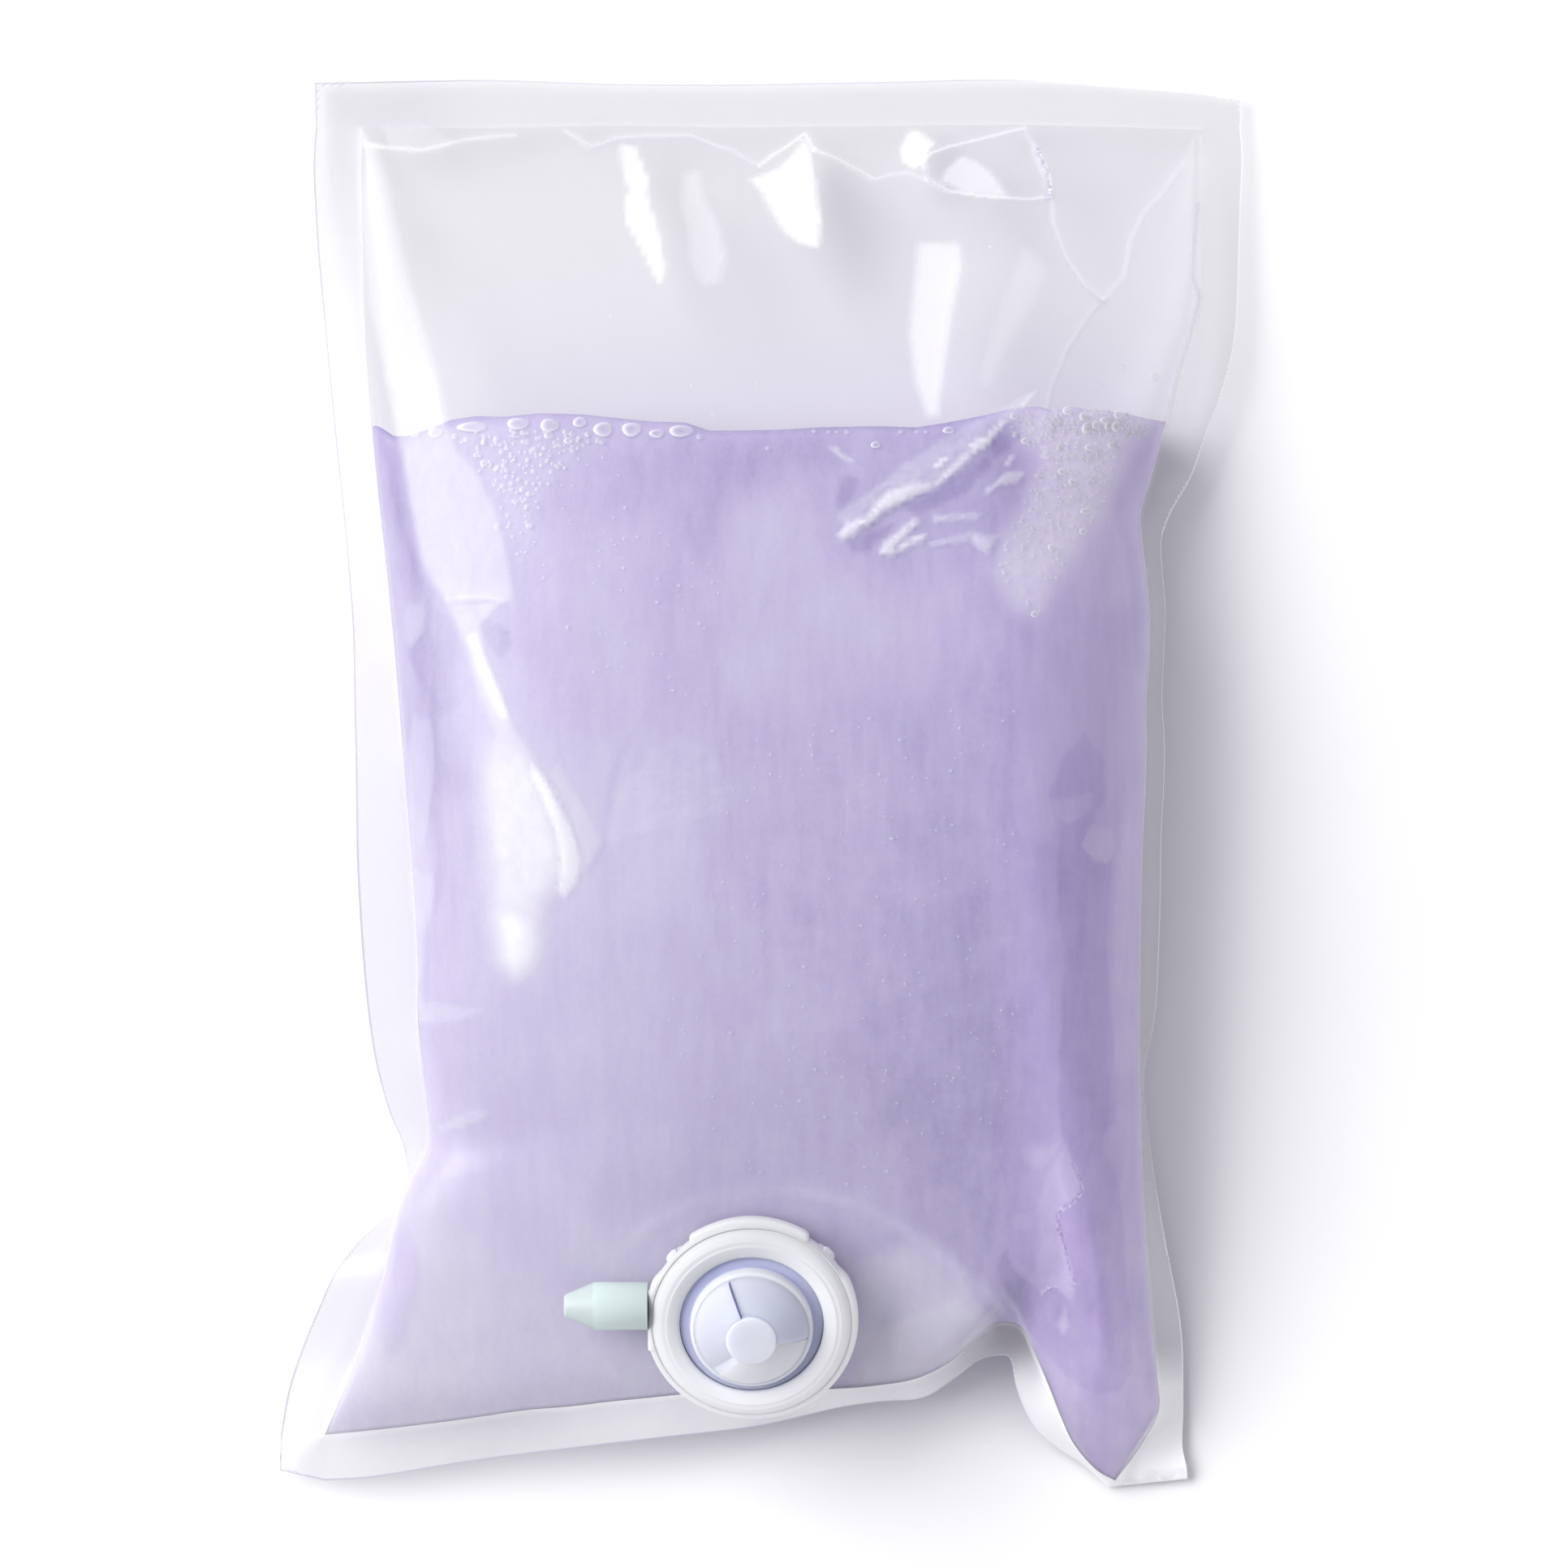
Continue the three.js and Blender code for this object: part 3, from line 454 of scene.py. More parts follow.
# film lying wet and close on the liquid: darker, with a crisp edge
WET_TOP = [(1334, 903), (1342, 913), (1354, 926), (1361, 940), (1359, 957), (1363, 972), (1361, 987), (1351, 1000), (1349, 1006), (1348, 1012), (1340, 1022),
           (1333, 1040), (1340, 1053), (1351, 1062), (1362, 1064), (1370, 1058), (1369, 1078), (1367, 1112), (1365, 1134), (1363, 1157), (1365, 1196),
           (1367, 1224), (1369, 1252), (1371, 1275), (1372, 1304), (1368, 1322), (1369, 1346), (1373, 1369), (1372, 1384), (1362, 1392), (1358, 1404), (1360, 1419),
           (1371, 1436), (1376, 1457), (1381, 1480), (1383, 1504), (1385, 1539), (1387, 1586), (1391, 1610), (1393, 1651), (1395, 1690),
           (1378, 1712), (1352, 1716), (1326, 1704), (1300, 1680), (1280, 1656), (1262, 1634), (1254, 1607), (1236, 1583), (1228, 1563), (1232, 1546), (1240, 1539),
           (1246, 1560), (1256, 1571), (1271, 1583), (1283, 1595), (1297, 1586), (1306, 1589), (1315, 1601), (1322, 1607), (1324, 1592),
           (1321, 1571), (1315, 1548), (1306, 1519), (1302, 1494), (1321, 1483), (1334, 1469), (1332, 1457), (1321, 1431), (1310, 1403), (1306, 1387),
           (1302, 1366), (1301, 1343), (1306, 1328), (1303, 1296), (1308, 1269), (1307, 1224), (1310, 1202), (1311, 1171), (1307, 1148),
           (1303, 1129), (1303, 1101), (1300, 1078), (1301, 1056), (1305, 1034), (1306, 1017), (1300, 1006), (1293, 984), (1292, 971), (1300, 961),
           (1305, 944), (1314, 927), (1326, 915)]
WET_GAP = [(1295, 986), (1318, 983), (1344, 976), (1345, 992), (1334, 1008), (1314, 1014), (1300, 1006)]
WET_LOBE = [(1333, 1042), (1340, 1053), (1351, 1062), (1362, 1064), (1370, 1057), (1374, 1040), (1368, 1025), (1359, 1018), (1348, 1016), (1340, 1026)]
DRY_A = [(1258, 1413), (1280, 1413), (1297, 1412), (1309, 1402), (1297, 1423), (1290, 1434), (1280, 1440), (1268, 1437), (1261, 1425)]
DRY_B = [(1315, 1407), (1321, 1431), (1332, 1457), (1334, 1469), (1321, 1483), (1302, 1494), (1306, 1519), (1315, 1548), (1321, 1571), (1324, 1592), (1318, 1601),
         (1306, 1589), (1297, 1586), (1283, 1595), (1277, 1570), (1277, 1557), (1278, 1522), (1277, 1489), (1281, 1472), (1291, 1445), (1303, 1424)]
DRY_C = [(1248, 1496), (1268, 1494), (1272, 1508), (1262, 1516), (1249, 1512)]
DRY_D = [(1250, 1552), (1262, 1560), (1277, 1572), (1272, 1583), (1256, 1571)]
DRY_E = [(1312, 1612), (1302, 1630), (1309, 1645), (1316, 1632)]
SEEP = [(1180, 1545), (1196, 1558), (1212, 1590), (1236, 1625), (1232, 1633), (1214, 1616), (1196, 1592), (1182, 1566)]

WET_LEFT = [(527, 739), (545, 755), (564, 776), (575, 795), (581, 814), (583, 843), (566, 871), (542, 884), (533, 865), (519, 840), (504, 812), (504, 797), (518, 785), (523, 776)]
LEFT_SEAM = [(463, 524), (473, 547), (482, 599), (492, 640), (509, 696), (527, 737), (523, 776), (510, 800), (515, 830), (533, 880), (538, 905),
             (536, 929), (540, 960), (534, 991), (540, 1024), (545, 1050), (541, 1074), (537, 1107), (527, 1132), (529, 1173), (523, 1219)]
LEFT_STREAK = [(479, 560), (488, 610), (500, 655), (516, 700), (530, 735)]

RIGHT_EDGE = [(1422, 529), (1416, 575), (1404, 633), (1402, 670), (1404, 720), (1412, 760), (1410, 830), (1407, 900), (1402, 972), (1400, 1060),
              (1397, 1160), (1396, 1260), (1396, 1360), (1400, 1440), (1406, 1530), (1414, 1620), (1420, 1690)]
RIGHT_STREAK = [(1428, 520), (1422, 574), (1405, 633), (1404, 668), (1415, 758), (1412, 830), (1398, 830), (1394, 758), (1387, 675), (1370, 630), (1373, 609), (1396, 560), (1405, 520)]

CRINKLE = [(1278, 483), (1252, 505), (1245, 517), (1228, 529), (1214, 553), (1196, 564), (1183, 576), (1155, 597), (1144, 604), (1103, 623), (1089, 630),
           (1068, 649), (1047, 663), (1033, 665), (1032, 657), (1040, 647), (1030, 635), (1054, 619), (1086, 595), (1113, 573), (1134, 560),
           (1162, 540), (1183, 529), (1203, 519), (1238, 501), (1262, 486)]
CRINKLE_LIT = [
    [(1096, 604), (1112, 600), (1128, 596), (1150, 594), (1144, 604), (1124, 612), (1103, 623), (1089, 630), (1070, 648), (1060, 646), (1076, 628)],
    [(1158, 590), (1172, 574), (1184, 562), (1196, 556), (1194, 566), (1180, 580), (1160, 596), (1150, 602)],
    [(1034, 658), (1046, 648), (1060, 638), (1066, 642), (1054, 656), (1040, 664)],
    [(1196, 548), (1206, 540), (1216, 538), (1210, 550), (1198, 560)],
    [(1222, 530), (1234, 519), (1240, 520), (1232, 530), (1224, 540), (1212, 556), (1210, 546)],
    [(1254, 505), (1266, 489), (1276, 483), (1274, 490), (1260, 505)],
    [(1150, 575), (1163, 563), (1170, 563), (1158, 577)],
]
HOOK = [(1084, 682), (1090, 668), (1106, 656), (1118, 646), (1128, 639), (1132, 644), (1122, 654), (1108, 668), (1102, 674), (1114, 668), (1126, 661),
        (1140, 658), (1139, 664), (1126, 670), (1112, 678), (1098, 684)]
BARS = [
    [(1151, 636), (1180, 634), (1207, 633), (1205, 639), (1180, 640), (1152, 644)],
    [(1148, 668), (1170, 664), (1193, 660), (1192, 666), (1168, 669), (1149, 672)],
    [(1193, 657), (1204, 657), (1217, 661), (1228, 661), (1225, 669), (1218, 682), (1207, 677), (1198, 668)],
    [(1210, 607), (1226, 594), (1242, 581), (1266, 582), (1259, 590), (1250, 596), (1232, 598), (1218, 608)],
    [(1236, 572), (1246, 560), (1252, 560), (1244, 574)],
    [(1284, 552), (1288, 550), (1292, 566), (1288, 568)],
    [(1028, 548), (1040, 560), (1056, 570), (1050, 572), (1034, 562), (1024, 552)],
]
CRINKLE_SHADE = [
    [(1040, 585), (1058, 590), (1052, 612), (1036, 626), (1030, 622), (1034, 600)],
    [(1110, 626), (1150, 606), (1190, 578), (1218, 560), (1222, 574), (1206, 588), (1192, 606), (1160, 622), (1130, 634)],
    [(1044, 668), (1072, 656), (1100, 646), (1094, 656), (1080, 668), (1070, 680), (1050, 682)],
    [(1222, 540), (1250, 520), (1262, 522), (1258, 540), (1240, 556), (1222, 566)],
]

FOAM = [(1245, 508), (1280, 502), (1300, 506), (1330, 502), (1365, 506), (1395, 512), (1425, 520), (1410, 538), (1387, 547), (1370, 590), (1356, 633),
        (1330, 668), (1310, 700), (1280, 758), (1250, 750), (1228, 703), (1240, 660), (1262, 620), (1276, 590), (1284, 560), (1262, 545), (1240, 530)]
FROTH = [(552, 535), (590, 530), (640, 530), (700, 530), (745, 540), (725, 560), (700, 575), (672, 600), (660, 640), (650, 690), (645, 730), (632, 700),
         (628, 660), (618, 630), (600, 596), (575, 562)]

# headspace: creases and lit flanks
LIT_A = [(764, 175), (783, 181), (798, 219), (797, 242), (810, 280), (819, 325), (817, 352), (810, 348), (795, 318), (772, 276), (768, 253), (774, 234), (766, 208)]
LIT_B = [(842, 215), (861, 210), (867, 242), (886, 280), (895, 318), (886, 348), (867, 352), (852, 325), (848, 280), (840, 250)]
LIT_C = [(924, 221), (945, 213), (958, 208), (975, 192), (992, 171), (998, 185), (1003, 215), (1012, 272), (1008, 305), (985, 300), (966, 286), (948, 256), (936, 235)]
LIT_D = [(1132, 300), (1181, 300), (1185, 326), (1174, 379), (1166, 432), (1155, 512), (1143, 512), (1128, 470), (1121, 413), (1126, 356)]
LIT_E = [(1262, 305), (1290, 330), (1270, 380), (1240, 430), (1218, 474), (1208, 468), (1220, 420), (1240, 362)]
LIT_F = [(1109, 185), (1120, 162), (1132, 162), (1151, 177), (1143, 185), (1136, 200), (1126, 208), (1113, 200)]
LIT_G = [(1185, 192), (1206, 200), (1223, 215), (1242, 242), (1192, 238), (1159, 223), (1166, 208)]
FOLD_LOOP = [(1139, 200), (1147, 189), (1170, 181), (1208, 172), (1238, 164), (1261, 158), (1276, 181), (1291, 212), (1295, 242), (1269, 246),
             (1208, 242), (1170, 236), (1147, 223), (1138, 208), (1139, 200)]
TOP_LINE_A = [(449, 177), (480, 182), (521, 185), (550, 178), (574, 172), (600, 169), (635, 166)]
TOP_LINE_B = [(696, 162), (712, 171), (730, 181), (745, 176), (761, 170), (800, 167), (852, 167), (886, 181), (905, 186), (920, 196), (935, 205)]
POINT_LINE = [(935, 205), (950, 192), (970, 180), (992, 164), (1003, 184)]
TOP_LINE_C = [(1003, 185), (1030, 194), (1056, 208), (1079, 221), (1101, 214), (1121, 213), (1140, 222)]
CREASE_A = [(1276, 181), (1291, 212), (1295, 242), (1299, 280), (1314, 318), (1337, 352), (1360, 370)]
CREASE_B = [(1360, 368), (1386, 341), (1394, 295), (1409, 265), (1436, 234), (1459, 200)]
CREASE_C = [(1360, 370), (1345, 383), (1314, 432), (1295, 478), (1291, 500)]
CREASE_D = [(1476, 253), (1472, 285), (1470, 310), (1470, 340), (1478, 367), (1473, 387), (1466, 415), (1455, 451), (1436, 530)]

ARC = [(756, 1560), (800, 1510), (860, 1482), (930, 1470), (1000, 1472), (1060, 1486), (1120, 1516), (1180, 1560), (1225, 1606), (1262, 1642)]


class Field:
    """values laid over places of the picture, each in its own neighbourhood"""

    def __init__(self, px, py):
        self.px, self.py = px, py
        self.value = np.zeros(len(px))

    def _near(self, line, margin):
        o = np.array(line, float)
        lo, hi = o.min(0) - margin, o.max(0) + margin
        return np.nonzero((self.px > lo[0]) & (self.px < hi[0]) & (self.py > lo[1]) & (self.py < hi[1]))[0]

    def area(self, outline, amount, soft=8.0, grow=0.0, by=None, top=False):
        k = self._near(outline, soft + grow + 2)
        if not len(k):
            return self
        a = patch(self.px[k], self.py[k], outline, soft, grow)
        if by is not None:
            a = a * by(self.px[k], self.py[k])
        if top:
            self.value[k] = self.value[k] * (1 - a) + amount * a
        else:
            self.value[k] += amount * a
        return self

    def line(self, line, amount, width, by=None, ends=0.0):
        k = self._near(line, width * 3)
        if not len(k):
            return self
        d, along = distance(self.px[k], self.py[k], line)
        a = np.exp(-((d / width) ** 2))
        if ends:
            a = a * smooth(along, 0, ends) * smooth(1 - along, 0, ends)
        if by is not None:
            a = a * by(self.px[k], self.py[k])
        self.value[k] += amount * a
        return self

    def flank(self, line, amount, width, reach=None):
        """a step beside a line: rises on its left, falls on its right, as it runs"""
        k = self._near(line, width * 4)
        if not len(k):
            return self
        s = side(self.px[k], self.py[k], line)
        self.value[k] += amount * (s / width) * np.exp(0.5 - 0.5 * (s / width) ** 2)
        return self


def relief(px, py):
    """how far the web stands off its even shape, in millimetres"""
    f = Field(px, py)
    # long folds in the headspace
    for line, h, w in (
        ([(812, 170), (828, 250), (842, 330), (846, 400)], 0.5, 26),
        ([(900, 190), (918, 270), (930, 350), (930, 430)], 0.5, 30),
        ([(1030, 200), (1040, 280), (1036, 360), (1020, 430)], 0.4, 30),
        ([(1206, 290), (1208, 360), (1196, 440), (1180, 520)], 0.6, 28),
    ):
        f.line(line, h, w, ends=0.25)
    f.line(CREASE_A, 0.55, 7).line(CREASE_B, 0.5, 7, ends=0.1).line(CREASE_C, 0.45, 6, ends=0.1)
    f.line(FOLD_LOOP, 0.5, 5)
    f.line(TOP_LINE_A, 0.5, 5, ends=0.15).line(TOP_LINE_B, 0.5, 5, ends=0.1).line(TOP_LINE_C, 0.45, 5, ends=0.1)
    f.line(CREASE_D, 0.4, 5, ends=0.1)
    # crumpled fold across the liquid's corner
    for k, lit in enumerate(CRINKLE_LIT + [HOOK] + BARS):
        f.area(lit, 0.28, 5.0)
    f.line([(1278, 484), (1200, 545), (1120, 600), (1036, 655)], 0.45, 12, ends=0.08)
    # the arc round the valve, where the stiff spout lifts the web
    f.line(ARC, 0.7, 16, ends=0.1)
    return f.value


FOLD_DARK = [(800, 878), (780, 902), (764, 930), (752, 966), (748, 1004), (746, 1033), (732, 1060), (719, 1078), (700, 1100)]
FOLD_WEDGE = [(690, 938), (702, 964), (722, 1000), (738, 1030), (742, 1040), (730, 1062), (720, 1076), (718, 1052), (708, 1022), (694, 985), (680, 955)]
FOLD_FAN = [(752, 1006), (770, 960), (800, 930), (840, 905), (880, 925), (900, 965), (895, 1000), (850, 1010), (800, 1024), (758, 1040), (748, 1032)]
NOTCH = [(589, 758), (604, 764), (628, 776), (632, 792), (624, 810), (614, 812), (606, 800), (596, 786)]
TOP_ARC = [(550, 738), (575, 735), (600, 736), (621, 740)]
LEFT_TRIANGLE = [(512, 1240), (540, 1236), (596, 1246), (572, 1256), (545, 1262), (514, 1258)]
LEFT_FOLD = [(540, 1390), (562, 1376), (584, 1368), (605, 1370), (590, 1382), (566, 1391), (544, 1396)]
CORNER_FOLD = [(484, 1500), (478, 1550), (466, 1600), (448, 1655), (424, 1712), (402, 1765)]
LEFT_PATCHES = [
    [(500, 742), (524, 748), (522, 778), (506, 800), (498, 790)],
    [(510, 880), (532, 890), (536, 940), (530, 1000), (518, 1060), (508, 1000), (504, 930)],
    [(508, 1070), (536, 1080), (534, 1120), (524, 1150), (512, 1140)],
]
CLOUD = [(905, 640), (960, 600), (1020, 640), (1050, 700), (1110, 740), (1180, 730), (1190, 800), (1150, 850), (1060, 880), (960, 890), (890, 860), (880, 760)]
SKIRT = [(502, 1450), (560, 1400), (640, 1420), (760, 1500), (790, 1580), (700, 1560), (640, 1600), (560, 1690), (470, 1720), (450, 1700), (478, 1600)]
VIOLET_A = [(720, 560), (860, 540), (1000, 545), (1030, 570), (900, 600), (880, 700), (800, 640), (730, 640)]
BOTTOM_GLOW = [(1085, 1640), (1180, 1600), (1226, 1640), (1180, 1680), (1120, 1705), (1060, 1705)]
TAB = [(1459, 1796), (1466, 1791), (1470, 1798), (1468, 1812), (1461, 1818), (1457, 1808)]
EDGE_RIGHT_TOP = [(1532, 118), (1529, 160)]
CORNER_LIGHT = [(1430, 1738), (1418, 1758), (1400, 1786), (1384, 1812), (1374, 1832)]
LOBE_LINE = [(1228, 1582), (1240, 1600), (1254, 1616), (1262, 1636), (1271, 1661), (1288, 1704), (1307, 1746), (1330, 1782), (1352, 1815)]


def haze_and_highlight(px, py, band):
    """how milky the web is, with painted highlights and sheen laid into it"""
    f = Field(px, py)
    # the weld band's own milkiness, raised as painted light along the bottom and on the lower right over the floor's
    # shade beneath it, and a little on the left; the clear middle a touch milky
    f.value += np.where(band, 0.09 + 0.26 * smooth(px, 1390, 1420) * smooth(py, 1350, 1600) + 0.66 * smooth(py, 1650, 1730) * (0.55 + 0.45 * smooth(px, 560, 880) + 0.12 * smooth(px, 940, 1010)) + 0.06 * smooth(620 - px, 0, 120), 0.045)
    # painted sheen: the lower left flank is a little milkier, fading out towards the middle
    f.value += np.where(band, 0, 0.03 * smooth(900 - px, 0, 330) * smooth(py, 560, 900))
    # painted sheen of the lamp on the left flank, from the top weld down to the middle of the bag, with a crisp core
    f.area(SKIRT, 0.06, 60)
    f.area(SHEEN_TOP, 0.38, 12, by=lambda x, y: 0.16 + 0.84 * smooth(y, 400, 560) * (0.80 + 0.20 * clouds(x / 9, y / 16, 5)))
    f.area(SHEEN_NECK, 0.46, 12, by=lambda x, y: (0.55 + 0.14 * clouds(x / 8, y / 12, 9)) * (1 - smooth(y, 890, 960)))
    f.area([(596, 900), (636, 900), (657, 936), (678, 985), (694, 1040), (694, 1076), (672, 1100), (654, 1130), (652, 1176), (637, 1200), (617, 1184), (606, 1110), (596, 1000)], 0.40, 48,
           by=lambda x, y: smooth(y, 880, 960) * (1.0 + 0.2 * clouds(x / 9, y / 14, 9)))
    f.area(SHEEN_NECK, 0.09, 60, 14)
    f.area(SHEEN_CORE, 0.34, 4)
    f.area([(606, 950), (640, 930), (676, 980), (694, 1040), (690, 1100), (660, 1120), (620, 1110), (612, 1040)], 0.10, 30)
    f.line(SHEEN_LINE, 0.40, 6, ends=0.1)
    f.area(SHEEN_END, 0.26, 36)
    # painted highlights on the folds beside the sheen and on the lower left folds
    f.area(FOLD_WEDGE, 0.14, 4).area(FOLD_FAN, 0.14, 14, by=lambda x, y: 0.6 + 0.5 * clouds(x / 14, y / 6, 17))
    f.line(TOP_ARC, 0.14, 2.0)
    f.area(LEFT_TRIANGLE, 0.18, 4).area(LEFT_FOLD, 0.17, 5)
    f.line(CORNER_FOLD, 0.06, 12, ends=0.15)
    for light in LEFT_PATCHES:
        f.area(light, 0.14, 6)
    # painted highlights on the headspace's lit flanks and along its creases and weld lines
    for lit, amount, soft in ((LIT_A, 0.50, 5), (LIT_B, 0.26, 14), (LIT_C, 0.62, 4), (LIT_D, 0.46, 14), (LIT_E, 0.18, 18), (LIT_F, 0.7, 8), (LIT_G, 0.42, 8)):
        f.area(lit, amount, soft)
    for line, amount, width in ((FOLD_LOOP, 0.55, 2.0), (TOP_LINE_A, 0.35, 2.4), (TOP_LINE_B, 0.35, 2.2), (TOP_LINE_C, 0.3, 2.0), (POINT_LINE, 0.5, 2.2),
                                (CREASE_A, 0.3, 5), (CREASE_B, 0.25, 4), (CREASE_C, 0.2, 3), (CREASE_D, 0.6, 2.6)):
        f.line(line, amount, width)
    # light on the left flank of the headspace
    f.area([(450, 170), (470, 200), (500, 330), (536, 450), (552, 520), (520, 520), (480, 470), (456, 380), (446, 250)], 0.16, 16)
    f.area([(470, 150), (520, 150), (560, 175), (540, 190), (480, 184)], 0.16, 10)
    # painted highlights on the crumpled fold across the liquid's corner
    f.area(CRINKLE, 0.24, 4, by=lambda x, y: 0.7 + 0.5 * clouds(x / 7, y / 7, 21))
    for lit in CRINKLE_LIT:
        f.area(lit, 0.36, 2.5)
    f.area(HOOK, 0.5, 2.0)
    for bar in BARS:
        f.area(bar, 0.33, 3.0)
    f.area(FOAM, 0.14, 30, by=lambda x, y: 0.75 + 0.5 * clouds(x / 6, y / 6, 27))
    f.area(FROTH, 0.16, 22, by=lambda x, y: 0.75 + 0.5 * clouds(x / 6, y / 6, 29))
    # painted highlights along the arc round the valve and the lower creases, and a painted glow beside the valve
    f.line(ARC, 0.10, 9, ends=0.12)
    f.line(CORNER_LIGHT, 0.6, 3.0, ends=0.1)
    f.line(LOBE_LINE, 0.22, 3.0, ends=0.1)
    f.area(BOTTOM_GLOW, 0.16, 16)
    return np.clip(f.value, 0, 0.97)


def shade(px, py, band):
    """how grey the milky part is: painted shade on folds' shaded sides, and on the left weld band"""
    f = Field(px, py)
    f.value += np.where(band, 0.03 + 0.30 * smooth(620 - px, 0, 120) * (1 - smooth(py, 1600, 1700)), 0.10)
    shift = lambda line, dx, dy: [(x + dx, y + dy) for x, y in line]
    f.line(shift(CREASE_A, -5, 1), 0.6, 3).line(shift(CREASE_C, 3, 2), 0.5, 3).line(shift(TOP_LINE_B, 0, 5), 0.35, 4)
    f.line(shift(FOLD_LOOP, 2, 3), 0.35, 2.5)
    return np.clip(f.value, 0, 1)


def lilac_light(px, py, band):
    """how lilac the clear part is: a painted reflection of the liquid, rising from the lower headspace and kept on over
    the liquid, and a painted lilac cast towards the side away from the lamp
    """
    f = Field(px, py)
    f.value += np.where(band, 0, 0.60 * smooth(py, 330, 515) * smooth(px, 520, 640))
    f.value += np.where(band, 0, 0.16 * smooth(px, 950, 1300))
    return np.clip(f.value, 0, 1)


def tone(px, py):
    """lighter above 0, darker below"""
    f = Field(px, py)
    f.value += 0.07 * clouds(px / 75, py / 105, 40, 3)
    f.value += 0.05 * clouds(px / 9, py / 46, 44, 2) * smooth(px, 700, 900)
    f.value += 0.05 * clouds(px / 16, py / 14, 46, 3) * smooth(px, 850, 1000) * smooth(py, 850, 1050)
    # painted shade and light: darker on the right side away from the lamp and on the left flank facing it, lighter
    # across the left middle, the lower part, the far right flank and beside the valve
    f.value -= 0.16 * smooth(px, 950, 1260) * smooth(py, 820, 1120)
    f.value -= 0.05 * smooth(px, 850, 1000)
    f.value += 0.08 * smooth(py, 1380, 1560)
    f.value += 0.07 * smooth(900 - px, 0, 250) * smooth(px, 480, 760)
    f.value -= 0.14 * smooth(640 - px, 0, 120) * smooth(1250 - py, 0, 300)
    f.value -= 0.05 * smooth(760 - px, 0, 160)
    f.value += 0.08 * smooth(py, 1560, 1720)
    f.value += 0.13 * smooth(px, 1235, 1285) + 0.05 * smooth(px, 1320, 1400)
    f.value += 0.14 * smooth(px, 1240, 1340) * smooth(py, 1560, 1680)
    f.area([(1060, 1560), (1130, 1530), (1190, 1560), (1230, 1610), (1226, 1650), (1180, 1680), (1110, 1705), (1060, 1710)], 0.29, 40)
    lobe = smooth(px, 1240, 1300) * smooth(py, 1540, 1620)
    f.value += 0.085 * smooth(py, 860, 1000) * (1 - lobe) + 0.07 * smooth(py, 1480, 1600) * (1 - lobe)
    f.value += 0.12 * smooth(px, 1235, 1290) * (1 - smooth(py, 1450, 1560)) + 0.14 * smooth(px, 1350, 1385) * smooth(py, 1440, 1560)
    f.value -= 0.06 * smooth(px, 450, 480) * smooth(560 - px, 0, 40) * smooth(py, 1120, 1180) * (1 - smooth(py, 1260, 1330))
    # painted light on the upper right flank
    f.area([(1340, 520), (1420, 520), (1404, 640), (1406, 730), (1340, 760), (1290, 700)], 0.10, 40)
    f.area([(700, 900), (800, 900), (870, 1020), (860, 1120), (760, 1140), (700, 1110)], 0.07, 50)
    f.area(CLOUD, 0.12, 90)
    f.area(VIOLET_A, -0.13, 60)
    f.area(RIGHT_STREAK, -0.07, 14)
    f.line(RIGHT_EDGE, -0.09, 9)
    f.area([(1262, 1030), (1300, 1030), (1303, 1100), (1306, 1250), (1302, 1350), (1308, 1400), (1280, 1412), (1262, 1400), (1258, 1300), (1266, 1150)], -0.10, 22)
    f.area(WET_TOP, -0.14, 0.8)
    f.area(WET_GAP, 0.14, 0.8).area(WET_LOBE, 0.12, 0.8)
    for dry, amount in ((DRY_A, 0.12), (DRY_B, 0.13), (DRY_C, 0.12), (DRY_D, 0.10), (DRY_E, 0.35)):
        f.area(dry, amount, 1.2)
    f.area(SEEP, -0.16, 6)
    f.area([(1376, 1060), (1392, 1000), (1396, 1200), (1392, 1400), (1378, 1380), (1372, 1250)], 0.08, 6)
    f.area([(1030, 800), (1270, 720), (1390, 700), (1398, 900), (1330, 890), (1270, 900), (1130, 870)], -0.02, 60)
    f.line(LEFT_SEAM, -0.06, 6)
    f.line(LEFT_STREAK, -0.05, 9)
    f.area(WET_LEFT, -0.08, 1.5)
    f.area([(484, 700), (505, 720), (520, 800), (532, 900), (534, 1000), (536, 1100), (520, 1200), (506, 1200), (500, 1000), (492, 860)], 0.05, 14)
    # painted shadow along the fold's dark side
    f.line(FOLD_DARK, -0.10, 4.5, ends=0.25)
    f.area(NOTCH, -0.18, 3, by=lambda x, y: 0.7 + 0.6 * clouds(x / 5, y / 5, 33))
    f.line([(527, 1410), (520, 1380), (512, 1300), (512, 1240)], -0.16, 5, ends=0.1)
    f.area([(470, 1540), (500, 1500), (520, 1560), (505, 1640), (480, 1680), (462, 1640)], -0.12, 14)
    for sh in CRINKLE_SHADE:
        f.area(sh, -0.20, 8)
    f.line(LEVEL, -0.17, 4.5)
    f.area(FOAM, 0.48, 44, by=lambda x, y: 1 + 0.30 * clouds(x / 5, y / 5, 71))
    f.area(FROTH, -0.03, 16)
    return f.value


def violet(px, py):
    """how strongly coloured: painted light, a stronger violet over the flank away from the lamp, standing in for light
    coming through the liquid
    """
    return smooth(px, 1215, 1290) * (1 - 0.5 * smooth(py, 1540, 1620) * smooth(1360 - px, 0, 40))


